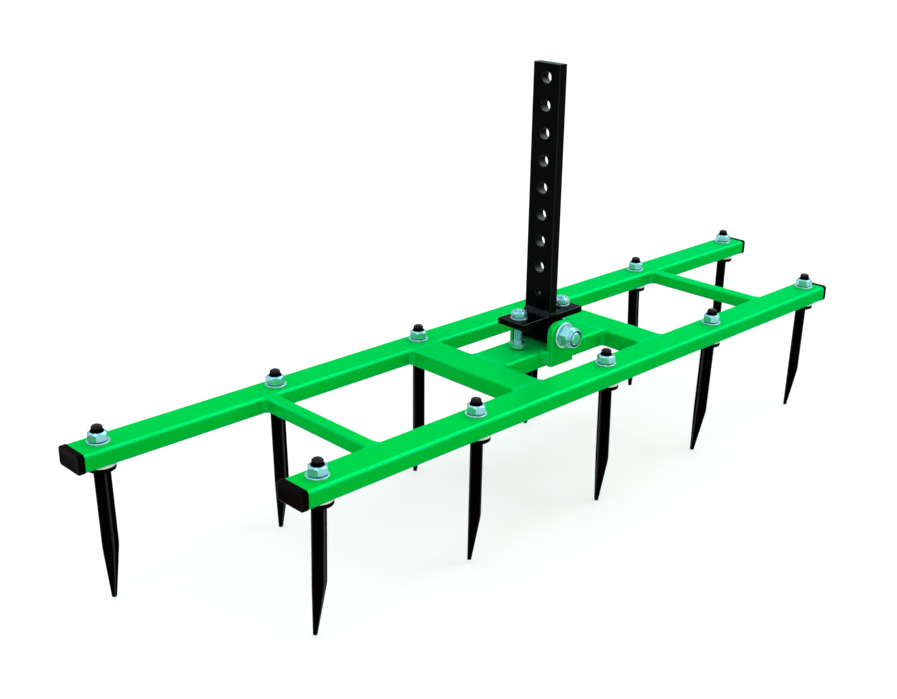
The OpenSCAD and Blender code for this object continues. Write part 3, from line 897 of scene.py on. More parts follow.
@dataclass
class FrameTubes:
    """The welded frame: seven tubes, the weld beads at their joints and the two pivot ears.

    A joint's bead has legs on the sides of the tube that ends there and a lower, crowned cap on
    its flats, top_leg long on that tube and toe_past long past the round edge of the other one.
    """

    wall: float = 2 * MM
    radius: float = 4 * MM
    cap_lap: float = 1.5 * MM
    corner_steps: int = 8
    stud_hole: float = 6.5 * MM
    leg: float = 5 * MM
    mid_leg: float = 3.6 * MM
    top_leg: float = 4 * MM
    toe_past: float = 1.2 * MM
    crown: float = 0.3 * MM
    hollow_share: float = 0.16
    root_depth: float = 0.8 * MM
    bead_step: float = 0.5 * MM
    ripple: Ripple = Ripple(spacing=2.6 * MM, height=0.28 * MM, wander=0.3 * MM)
    ear_corner: float = 14 * MM
    ear_foot_corner: float = 1.5 * MM
    ear_bevel: float = 1.8 * MM
    ear_hole: float = 8.5 * MM
    ear_leg: float = 6 * MM
    ear_leg_share: float = 0.8
    ear_crown: float = 0.2 * MM
    ear_bead_over: float = 0.4 * MM
    ear_stations: int = 34
    ear_ripple: Ripple = Ripple(spacing=2.4 * MM, height=0.35 * MM, wander=0.3 * MM)
    cross_members: tuple[str, ...] = (
        "inner_cross_left", "inner_cross_right", "outer_cross_left", "outer_cross_right")

    def build(self) -> None:
        """Makes and dresses every tube, the beads and the ears."""
        beams = [(f"{row}_beam", [spot[0] for _, spot, _ in tine_spots(row)]) for row in ("rear", "front")]
        for node, studs in [*beams, ("mid_beam", [])]:
            make_piece(f"{node}_tube", self.tube(node, Axis.X, studs), POWDER_COAT, [node])
        for node in self.cross_members:
            make_piece(f"{node}_tube", self.tube(node, Axis.Y, []), POWDER_COAT, [node])
        make_piece("frame_weld_beads", self.joint_beads(), POWDER_COAT, ["frame_welds"], WELD_CREASE)
        for node in ("front_ear", "rear_ear"):
            make_piece(f"{node}_plate", self.ear(node), POWDER_COAT, [node])
        make_piece("ear_weld_beads", self.ear_beads(), POWDER_COAT, ["ear_welds"], WELD_CREASE)

    def section(
        self, half_width: float, half_height: float, radius: float, over: Array
    ) -> tuple[Array, Array]:
        """Section of a tube as a closed walk, with its edge mark, a painted highlight on the round edges.

        Args:
            half_width: Half of the section's width.
            half_height: Half of its height.
            radius: Radius of its corners.
            over: Places of the points of the two flat sides, over their width.

        Returns:
            The points (across, up) and the edge mark at each, which peaks in the middle of an arc as a
            painted highlight.
        """
        turn = quarter(self.corner_steps)
        arc = circle(turn, radius)
        wear = np.sin(2 * turn)
        reach = half_height - radius
        upper = arc + (half_width - radius, reach)
        lower = upper[::-1] * (1, -1)
        right = np.concatenate([lower, upper])
        arc_wear_and_highlight = np.concatenate([wear[::-1], wear])
        top = np.stack([over[::-1][1:-1], np.full(len(over) - 2, half_height)], 1)
        points = np.concatenate([right, top, right[::-1] * (-1, 1), -top])
        flat = np.zeros(len(top))
        return points, np.concatenate([arc_wear_and_highlight, flat, arc_wear_and_highlight, flat])

    def tube(self, node: str, axis: Axis, studs: list[float]) -> Surface:
        """Hollow tube of one node: round corners swept along it, flats with stud holes, two rims.

        Args:
            node: The tube's node.
            axis: The direction of the tube.
            studs: Places of the stud holes along it.

        Returns:
            The closed surface, in place.
        """
        low, high = node_box(node)
        along, side = (0, 1) if axis is Axis.X else (1, 0)
        lap = self.cap_lap if studs else 0.0
        start, end = low[along] + lap, high[along] - lap
        half_width, half_height = (high - low)[side] / 2, (high - low)[2] / 2
        flat = half_width - self.radius
        strip = Strip(start, end, flat, holes_along(studs, [self.stud_hole] * len(studs), start, end, flat))
        stations = strip.stations()[:, None]
        surface = Surface()
        corner = 2 * (self.corner_steps + 1)
        walls = []
        for inset in (0.0, self.wall):
            loop, wear = self.section(
                half_width - inset, half_height - inset, self.radius - inset, strip.across())
            walls.append(lift(loop, 0.0, Axis.X))
            for first in (0, corner + len(strip.across()) - 2):
                part = slice(first, first + corner)
                skin = np.broadcast_to(loop[part], (len(stations), corner, 2))
                surface.patch(lift(skin, stations, Axis.X), wear[None, part])
            for level in (half_height - inset, inset - half_height):
                for grid in strip.patches():
                    surface.patch(lift(grid, level))
        for place in (start, end):
            surface.patch(np.stack([wall + (place, 0, 0) for wall in walls]), around=True)
        for sign in (-1, 1):
            for hole in strip.holes:
                rim = strip.hole_rim(hole)
                depths = [lift(rim, sign * (half_height - inset)) for inset in (0.0, self.wall)]
                surface.patch(np.stack(depths), around=True)
        centre = (low + high) / 2
        centre[along] = 0
        return surface.at(moved(*centre, turn=0 if axis is Axis.X else 90))

    def recess(self, height: Array, half_height: float) -> Array:
        """How far a tube's side stands back at a height: r - sqrt(r^2 - d^2) in its round edges."""
        into = np.clip(np.abs(height) - (half_height - self.radius), 0, self.radius)
        return self.radius - np.sqrt(self.radius ** 2 - into ** 2)

    def joint_bead(self, width: float, height: float, side_height: float, leg: float) -> Surface:
        """Bead all round a tube that ends at y = 0 on the side of another tube, which lies at y < 0.

        Both tubes are flush at z = 0. The toe on the tube lies leg away on the sides and
        top_leg on the flats. The other toe lies leg out on the face that the tube meets, and
        on the flats past its round edge.

        Args:
            width: Width of the tube that ends here.
            height: Height of that tube.
            side_height: Height of the tube that it meets.
            leg: Leg of the fillets on its sides.

        Returns:
            The closed surface, with the tube running to +Y.
        """
        outline = rounded_rectangle(width, height, self.radius, self.corner_steps, 8) - (0, height / 2)
        path = even_walk(outline, self.bead_step)
        facing = unit(outward(path))
        sideways, upright = np.abs(facing[:, 0]), np.abs(facing[:, 1])
        upper = lift(path, leg * sideways + self.top_leg * upright, Axis.Y)
        reached = path + facing * (leg * sideways)[:, None]
        reached[:, 1] = np.clip(reached[:, 1], -side_height, 0)
        half = side_height / 2
        past = self.recess(reached[:, 1] + half, half) + self.toe_past * upright
        lower = lift(reached, -past, Axis.Y)
        sunk = path - facing * self.root_depth
        root = lift(sunk, -self.recess(path[:, 1] + half, half) - self.root_depth, Axis.Y)
        swell = self.crown * upright - self.hollow_share * leg * sideways
        return Bead(upper, lower, root, swell, self.ripple, closed=True).surface()

    def joint_beads(self) -> Surface:
        """Beads at both ends of the middle beam and of the four cross members."""
        surface = Surface()
        beam_low, beam_high = node_box("front_beam")
        beam_height = beam_high[2] - beam_low[2]
        for node in self.cross_members:
            low, high = node_box(node)
            x = (low[0] + high[0]) / 2
            one = self.joint_bead(high[0] - low[0], high[2] - low[2], beam_height, self.leg)
            surface.add(one, moved(x, low[1], high[2]))
            surface.add(one, moved(x, high[1], high[2], 180))
        low, high = node_box("mid_beam")
        one = self.joint_bead(high[1] - low[1], high[2] - low[2], high[2] - low[2], self.mid_leg)
        surface.add(one, moved(low[0], 0, high[2], -90))
        surface.add(one, moved(high[0], 0, high[2], 90))
        return surface

    def ear(self, node: str) -> Surface:
        """Ear plate with two large round corners, a pivot hole and broken edges."""
        low, high = node_box(node)
        axis_z = pivot_centre()[2]
        corners = [(high[0], low[2]), (high[0], high[2]), (low[0], high[2]), (low[0], low[2])]
        radii = [self.ear_foot_corner, self.ear_corner, self.ear_corner, self.ear_foot_corner]
        outline = rounded_polygon(corners, radii, 10, 8) - (0, axis_z)
        hole = unit(outline) * self.ear_hole
        return bevelled_ring(hole, outline, low[1], high[1], self.ear_bevel, Axis.Y).at(moved(z=axis_z))

    def ear_bead(self, node: str, sign: int) -> Surface:
        """Upright bead between the right edge of one ear and the side of the middle beam.

        Args:
            node: The ear.
            sign: 1 for the rear ear, -1 for the front one.

        Returns:
            The closed surface, in place.
        """
        beam_low, beam_high = node_box("mid_beam")
        low, high = node_box(node)
        face = max(sign * beam_low[1], sign * beam_high[1])
        inner, outer = sorted((sign * low[1], sign * high[1]))
        half = (beam_high[2] - beam_low[2]) / 2
        middle = (beam_high[2] + beam_low[2]) / 2
        bottom, top = low[2] + self.ear_foot_corner, beam_high[2] + self.ear_bead_over
        z = np.linspace(bottom, top, self.ear_stations) - middle
        leg = self.ear_leg * run_out(len(z), 6)
        zero = np.zeros_like(z)
        back = self.recess(np.clip(z, -half, half), half)
        reach = inner - face + np.minimum(leg, (outer - inner) * self.ear_leg_share)
        upper = np.stack([zero, reach, z], 1)
        lower = np.stack([leg, -back, z], 1)
        root = np.stack([zero - self.root_depth, -back - self.root_depth, z], 1)
        one = Bead(upper, lower, root, zero + self.ear_crown, self.ear_ripple, closed=False).surface()
        return one.at(Matrix.Translation((high[0], sign * face, middle)) @ Matrix.Diagonal((1, sign, 1, 1)))

    def ear_beads(self) -> Surface:
        """The upright beads at both edges of both ears."""
        surface = Surface()
        for node, sign in (("front_ear", -1), ("rear_ear", 1)):
            one = self.ear_bead(node, sign)
            surface.add(one).add(one, Matrix.Diagonal((-1, 1, 1, 1)))
        return surface


@dataclass(frozen=True)
class Stance:
    """How one tine stands: its turn, the slip of its hole along the beam, and its lean.

    Its bar stands to one side of its stud by aside_top under the beam and by aside_tip at
    the ground. Its tip ends above the ground by short, and its top washer lies off the stud by
    washer_slip. Turns are in degrees.
    """

    turn: float
    slip: float
    aside_top: float
    aside_tip: float
    nut_turn: float
    washer_slip: float = 0.0
    short: float = 0.0


REAR_STANCES = (
    Stance(126, -2.6 * MM, 1.3 * MM, 4.3 * MM, 55, washer_slip=0.5 * MM, short=2.6 * MM),
    Stance(36, 1.3 * MM, 1.3 * MM, 4.4 * MM, 24, washer_slip=0.5 * MM),
    Stance(54, 2.3 * MM, 0.6 * MM, 1.0 * MM, 41),
    Stance(5, 0.0, -0.5 * MM, -4.2 * MM, 13),
    Stance(114, -1.4 * MM, 0.3 * MM, 4.8 * MM, 37, washer_slip=-0.5 * MM),
    Stance(32, 2.0 * MM, 1.5 * MM, 1.2 * MM, 4),
)
FRONT_STANCES = (
    Stance(40, 3.1 * MM, 0.3 * MM, -2.3 * MM, 52, washer_slip=-0.5 * MM, short=1.8 * MM),
    Stance(46, 0.3 * MM, 1.4 * MM, 0.6 * MM, 44, short=3.0 * MM),
    Stance(50, 0.3 * MM, 1.3 * MM, 2.9 * MM, 0),
    Stance(50, -3.9 * MM, -1.3 * MM, -5.6 * MM, 33),
    Stance(30, 2.4 * MM, -0.4 * MM, -2.4 * MM, 50),
)
# The level direction that a tine's bar stands aside in, which is across the view of the camera.
LEAN_TOWARDS = np.array((0.714, -0.700, 0.0))
# The seat washers are this much thicker than the frame's, and they and the collars this much
# larger in radius, so that the collars lie lower.
SEAT_DROP = 1.0 * MM
SEAT_OVER = 0.5 * MM


def tine_spots(row: str) -> list[tuple[str, Array, Stance]]:
    """Node, place and stance of each tine of a row, with the place moved by its slip."""
    stances = REAR_STANCES if row == "rear" else FRONT_STANCES
    return [(f"{row}_tine_{i}", node_middle(f"{row}_tine_{i}") + (stance.slip, 0, 0), stance)
            for i, stance in enumerate(stances, 1)]


def node_middle(node: str) -> Array:
    """Middle of a node's box."""
    low, high = node_box(node)
    return (low + high) / 2


def pivot_centre() -> Array:
    """Middle of the washer under the pivot bolt's head, which is a point of the pivot axis."""
    return node_middle("pivot_head_washer")


@dataclass
class EndCaps:
    """Four push-in caps that close the ends of the two long beams.

    A cap's head laps over the tube and stands proud of its flats. Its face is dished by dish
    inside dish_rim, and a plug with ribs holds it in the tube.
    """

    radius: float = 3.8 * MM
    least_radius: float = 0.4 * MM
    wall: float = 2 * MM
    lap: float = 1.5 * MM
    proud: float = 0.6 * MM
    bevel: float = 1.5 * MM
    dish: float = 0.35 * MM
    dish_rim: float = 2.6 * MM
    dish_floor: float = 3.4 * MM
    inner_edge: float = 0.2 * MM
    plug_clearance: float = 0.1 * MM
    rib_count: int = 3
    rib_height: float = 1 * MM
    rib_thickness: float = 1.2 * MM
    rib_crest: float = 0.6
    plug_wall: float = 2 * MM

    def build(self) -> None:
        """Makes the caps of both beams."""
        for beam in ("rear", "front"):
            for side in Side:
                node = f"{beam}_cap_{side.name.lower()}"
                surface = self.cap(node, f"{beam}_beam", side)
                make_piece(f"{node}_moulding", surface, CAP_PLASTIC, [node])

    def cap(self, node: str, beam: str, side: Side) -> Surface:
        """One cap as rings of its beam's section, each stood back by an inset.

        The rings run over the dished face, round the bevel, along the head, in to the plug,
        over its ribs, and back down the hollow of the plug.

        Args:
            node: The cap's node.
            beam: The node of its beam.
            side: The end of the beam that it closes.

        Returns:
            The closed surface, in place.
        """
        low, high = node_box(node)
        beam_low, beam_high = node_box(beam)
        width, height = (beam_high - beam_low)[1:]
        head = self.lap + (high[0] - beam_high[0] if side is Side.RIGHT else beam_low[0] - low[0])
        mouth = high[0] - head if side is Side.RIGHT else low[0] + head
        depth = high[0] - low[0] - head
        rib_inset = self.wall + self.plug_clearance
        plug_inset = rib_inset + self.rib_height
        hollow_inset = plug_inset + self.plug_wall
        profile = [(head - self.dish, height / 2, 0.0), (head - self.dish, self.dish_floor, 0.0),
                   (head, self.dish_rim, 0.3)]
        profile += [(head - depth_in, back, wear) for back, depth_in, wear in quarter_round(self.bevel, 4)]
        profile += [(self.inner_edge, 0.0, 0.2), (0.0, self.inner_edge, 0.0), (0.0, plug_inset, 0.0)]
        half = self.rib_thickness / 2
        for i in range(1, self.rib_count + 1):
            rib = -i * depth / (self.rib_count + 1)
            profile += [(rib + half, plug_inset, 0), (rib + half * self.rib_crest, rib_inset, 0),
                        (rib - half * self.rib_crest, rib_inset, 0), (rib - half, plug_inset, 0)]
        profile += [(-depth, plug_inset, 0), (-depth, hollow_inset, 0),
                    (head / 2, hollow_inset, 0), (head / 2, height / 2, 0)]
        rings = [self.ring(width, height + 2 * self.proud * (x > 0), inset, x) for x, inset, _ in profile]
        for end in (0, -1):
            rings[end] = rings[end] * (1, 0, 0)
        _, y, z = (low + high) / 2
        turn = 0 if side is Side.RIGHT else 180
        return loft(rings, [wear for _, _, wear in profile]).at(moved(mouth, y, z, turn))

    def ring(self, width: float, height: float, inset: float, x: float) -> Array:
        """Section of the tube stood back by an inset, at x."""
        inset = min(inset, height / 2 - 0.5 * MM)
        radius = max(self.radius - inset, self.least_radius)
        outline = rounded_rectangle(width - 2 * inset, height - 2 * inset, radius, 6, 4)
        return lift(outline, x, Axis.X)


@dataclass
class Tines:
    """Eleven forged tines, each with a lopsided point, a round collar and a threaded stud.

    The skin of a tine carries an edge mark along the arrises of its bar, a little at the collar, and most on
    the dome of the stud; on the arrises and the dome it is a painted highlight. A black ring round the stud
    just over the nut is painted shade, a dark band where the nut's countersink lies in shade; its points give
    how far it stands out from the stud and how high over the nut, in mm.
    """

    side: float = 13.5 * MM
    point: float = 58 * MM
    tip: float = 4.4 * MM
    tip_round: float = 0.9 * MM
    knee: float = 2.5 * MM
    arris: float = 0.9 * MM
    arris_loss: float = 0.4
    arris_limit: float = 0.45
    arris_steps: int = 5
    flat_steps: int = 11
    throat: float = 1.5 * MM
    collar_edge: float = 0.7 * MM
    collar_height: float = 5 * MM
    collar_wear: float = 0.1
    stud: Thread = Thread(diameter=12 * MM, pitch=1.75 * MM)
    stud_end: float = 3.4 * MM
    stud_flat: float = 2.6 * MM
    stud_crown: float = 0.3 * MM
    # How strongly the dome of the stud shows the painted highlight.
    dome_highlight: float = 0.8
    # Black ring round the stud just over the nut: painted shade, a dark band where the nut's countersink lies
    # in shade. Points (out, rise) in mm.
    shade_ring: tuple[tuple[float, float], ...] = ((1.0, -0.7), (1.0, 0.5), (0.75, 0.9), (0.0, 1.3))

    def build(self) -> None:
        """Makes every tine of both rows."""
        for row in ("rear", "front"):
            for node, (x, y, _), stance in tine_spots(row):
                surface = self.tine(stance).at(moved(x, y))
                make_piece(f"{node}_forging", surface, TINE_PAINT, [node], FORGING_CREASE)

    def bar_section(self, z: float) -> Array:
        """Square section of the bar at a height, which narrows to the point on three sides.

        With s the share of the point's length, the two X sides close in from side / 2 to
        tip / 2 and the -Y side from side / 2 to tip - side / 2, while the +Y side stays. A
        smooth step over the knee blends the share into the straight bar, and all four sides
        close in by a quarter round at the tip.

        Args:
            z: Height above the tip.

        Returns:
            The outline.
        """
        half = self.side / 2
        rest = (self.point - z) / (self.point - self.tip_round)
        knee = self.knee / self.point
        share = min(0.5 * (rest + math.sqrt(rest * rest + knee * knee)), 1.0)
        cut = 0.0
        if z < self.tip_round:
            share = 1.0
            cut = self.tip_round - math.sqrt(self.tip_round ** 2 - (self.tip_round - z) ** 2)
        wide = half + (self.tip / 2 - half) * share - cut
        near = -half + (self.side - self.tip) * share + cut
        far = half - cut
        corners = [(wide, far), (-wide, far), (-wide, near), (wide, near)]
        most = self.arris_limit * min(far - near, 2 * wide)
        radius = min(self.arris * (1 - self.arris_loss * share), most)
        return rounded_polygon(corners, radius, self.arris_steps, self.flat_steps)

    def bar(self, stance: Stance, top: float) -> list[Array]:
        """Rings of the bar from the tip to its throat, close together at the tip and the knee.

        At height z the bar stands aside_tip + (aside_top - aside_tip) * z / top aside.

        Args:
            stance: Its turn, its lean and how far it is short.
            top: Height of the underside of the collar.

        Returns:
            The rings, upwards.
        """
        heights = [0.0, 0.12 * MM, 0.4 * MM, *np.linspace(self.tip_round, self.point - 6 * MM, 12),
                   *np.linspace(self.point - 5 * MM, self.point + 5 * MM, 9),
                   *np.linspace(self.point + 10 * MM, top - self.throat - stance.short, 8)]
        turn = math.radians(stance.turn)
        spin = np.array([[math.cos(turn), math.sin(turn)], [-math.sin(turn), math.cos(turn)]])
        lean = stance.aside_top - stance.aside_tip
        return [lift(self.bar_section(z) @ spin + LEAN_TOWARDS[:2] * (stance.aside_tip + lean * z / top),
                     z + stance.short) for z in heights]

    def tine(self, stance: Stance) -> Surface:
        """The whole tine as one skin, from its tip to the end of its stud, with its stud at x = y = 0.

        Args:
            stance: Its turn and how far it stands aside.

        Returns:
            The closed surface.
        """
        low, high = node_box("rear_tine_1")
        collar_top = node_box("tine_seat_washers")[0][2] - SEAT_DROP
        nut_top = node_box("tine_nuts")[1][2]
        bottom = collar_top - self.collar_height
        bar = self.bar(stance, bottom)
        foot = bar[-1][:, :2]
        throat = [lift(foot + outward(foot) * out, bottom - down)
                  for down, out, _ in quarter_round(self.throat)[1:]]
        centre = LEAN_TOWARDS * stance.aside_top
        start = foot[0] - centre[:2]
        angles = math.atan2(start[1], start[0]) + full_turn(len(foot))
        reach = (high[0] - low[0]) / 2 + SEAT_OVER
        collar = [lift(circle(angles, reach - back), z) + centre
                  for back, z, _ in wall_profile(bottom, collar_top, self.collar_edge)]
        radius = self.stud.diameter / 2
        shank = [(radius, collar_top), (radius, nut_top - 1 * MM)]
        # Painted shade: the black ring round the stud just over the nut.
        shade_ring = [(radius + out * MM, nut_top + rise * MM) for out, rise in self.shade_ring]
        thread = self.stud.rings(angles, shade_ring[-1][1], high[2] - self.stud_end, 0.0)
        drop = self.stud_end - self.stud_crown
        dome = [(self.stud_flat + (radius - self.stud_flat) * math.cos(a),
                 high[2] - self.stud_crown - drop * (1 - math.sin(a)))
                for a in np.linspace(0.1, math.pi / 2, 9)]
        dome += [(self.stud_flat * share, high[2] - self.stud_crown * share ** 2) for share in (0.6, 0.0)]
        round_parts = [[lift(circle(angles, r), z) for r, z in part] for part in (shank, shade_ring, dome)]
        # Edge mark on the arrises of the bar, a painted highlight.
        arrises = np.tile(np.repeat([1.0, 0.0], [self.arris_steps + 1, self.flat_steps - 1]), 4)
        rings, wear = [np.broadcast_to(bar[0].mean(0), bar[0].shape)], [np.zeros(len(foot))]
        for part, worn in ((bar, arrises), (throat + collar + round_parts[0], self.collar_wear),
                           (round_parts[1] + thread, 0.0), (round_parts[2], self.dome_highlight)):
            rings += part
            wear += [np.broadcast_to(worn, len(foot))] * len(part)
        return Surface().patch(np.stack(rings), np.stack(wear), around=True)


@dataclass
class TineFasteners:
    """Seat washer, top washer and nut of each tine, where the seat washer follows the collar."""

    washer_edge: float = 0.45 * MM
    stud_hole: float = 6.5 * MM
    nut_across: float = 19 * MM
    nut_bore: float = 6.08 * MM
    countersink: float = 1.0 * MM

    def build(self) -> None:
        """Makes the three sets, each as one piece."""
        spots = [(place, stance) for row in ("rear", "front") for _, place, stance in tine_spots(row)]
        for node, name, finish in (("tine_seat_washers", "tine_seat_rings", ZINC_STRAW),
                                   ("tine_top_washers", "tine_top_rings", ZINC_PLATE)):
            low, high = node_box(node)
            radius = high[1] - max(place[1] for place, _ in spots)
            seat = node == "tine_seat_washers"
            drop, over = (SEAT_DROP, SEAT_OVER) if seat else (0.0, 0.0)
            one = washer(radius + over, self.stud_hole, high[2] - low[2] + drop, self.washer_edge)
            surface = Surface()
            for place, stance in spots:
                aside = LEAN_TOWARDS * stance.aside_top if seat else np.array((stance.washer_slip, 0, 0))
                x, y, _ = place + aside
                surface.add(one, moved(x, y, low[2] - drop))
            make_piece(name, surface, finish, [node])
        low, high = node_box("tine_nuts")
        one = hex_nut(self.nut_across, high[2] - low[2], self.nut_bore, self.countersink)
        surface = Surface()
        for place, stance in spots:
            surface.add(one, moved(place[0], place[1], low[2], stance.nut_turn))
        make_piece("tine_hex_nuts", surface, ZINC_PLATE, ["tine_nuts"], HEX_CREASE)


@dataclass
class Pivot:
    """Bolt, two washers and a lock nut with a nylon ring, on which the hitch rolls.

    The nut is crown_over taller than the frame's, and both washers are washer_under smaller in
    radius. The nut's collar is rolled in over the nylon ring by a lip.
    """

    across: float = 24 * MM
    thread: Thread = Thread(diameter=16 * MM, pitch=2 * MM)
    end_chamfer: float = 1.4 * MM
    thread_length: float = 26 * MM
    nut_turn: float = -18
    bore: float = 8.08 * MM
    countersink: float = 0.8 * MM
    washer_hole: float = 8.5 * MM
    washer_edge: float = 1.4 * MM
    washer_under: float = 0.6 * MM
    hexagon_height: float = 13.2 * MM
    foot_share: float = 0.985
    foot_rise: float = 0.3 * MM
    collar_radius: float = 11.0 * MM
    mouth_radius: float = 9.9 * MM
    ring_radius: float = 10.4 * MM
    ring_clearance: float = 0.05 * MM
    ring_edge: float = 0.4 * MM
    crown_over: float = 1.2 * MM
    ring_depth: float = 3 * MM
    lip: float = 0.8 * MM
    roll: float = 0.8 * MM

    def build(self) -> None:
        """Makes the bolt, its washers, the nut and the nylon ring."""
        bolt_low, bolt_high = node_box("pivot_bolt")
        seat = node_box("pivot_head_washer")[1][1]
        length = seat - bolt_low[1]
        bolt = hex_bolt(self.across, bolt_high[1] - seat, self.thread, length,
                        length - self.thread_length, self.end_chamfer)
        make_piece("pivot_hex_bolt", self.on_axis(bolt, seat), ZINC_PLATE, ["pivot_bolt"], HEX_CREASE)
        for node in ("pivot_head_washer", "pivot_nut_washer"):
            low, high = node_box(node)
            radius = (high[0] - low[0]) / 2 - self.washer_under
            one = washer(radius, self.washer_hole, high[1] - low[1], self.washer_edge)
            make_piece(f"{node}_ring", self.on_axis(one, high[1]), ZINC_PLATE, [node])
        low, high = node_box("pivot_nut")
        total = high[1] - low[1] + self.crown_over
        nut = self.lock_nut(total).at(moved(turn=self.nut_turn))
        make_piece("pivot_lock_nut", self.on_axis(nut, high[1]), ZINC_PLATE, ["pivot_nut"], HEX_CREASE)
        angles = full_turn(CIRCLE_STEPS)
        ring = bevelled_ring(
            circle(angles, self.bore), circle(angles, self.ring_radius - self.ring_clearance),
            total - self.ring_depth, total - self.lip - 2 * self.ring_clearance, self.ring_edge, Axis.Z)
        make_piece("pivot_nylon_ring", self.on_axis(ring, high[1]), NYLON, ["pivot_nut_insert"])

    def on_axis(self, surface: Surface, y: float) -> Surface:
        """Lays a part that was made upwards on the pivot axis, pointing to the front from y."""
        x, _, z = pivot_centre()
        return surface.at(Matrix.Translation((x, y, z)) @ Matrix.Rotation(math.pi / 2, 4, "X"))

    def lock_nut(self, total: float) -> Surface:
        """Hexagon with a round collar whose lip is rolled in over the nylon ring.

        Args:
            total: Height of the hexagon and the collar.

        Returns:
            The closed surface, standing on z = 0.
        """
        outline = hexagon(self.across)
        face, depth = hex_ends(outline, self.across)
        away = unit(outline)
        top = self.hexagon_height
        foot = [(self.bore, self.countersink), (self.bore + self.countersink, 0)]
        collar = [(self.collar_radius + 0.02 * MM, top + 0.1 * MM), (self.collar_radius, top + 0.6 * MM)]
        collar += [(self.collar_radius - back, total - down) for down, back, _ in quarter_round(self.roll, 6)]
        collar += [(self.mouth_radius + 0.15 * MM, total - 0.1 * MM), (self.mouth_radius, total - 0.4 * MM),
                   (self.mouth_radius, total - self.lip), (self.ring_radius, total - self.lip),
                   (self.ring_radius, total - self.ring_depth), (self.bore, total - self.ring_depth)]
        rings = [lift(away * radius, z) for radius, z in foot]
        rings += [lift(outline * self.foot_share, 0), lift(outline, self.foot_rise),
                  lift(outline, top - depth), lift(face, top)]
        return closed_loft(rings + [lift(away * radius, z) for radius, z in collar])


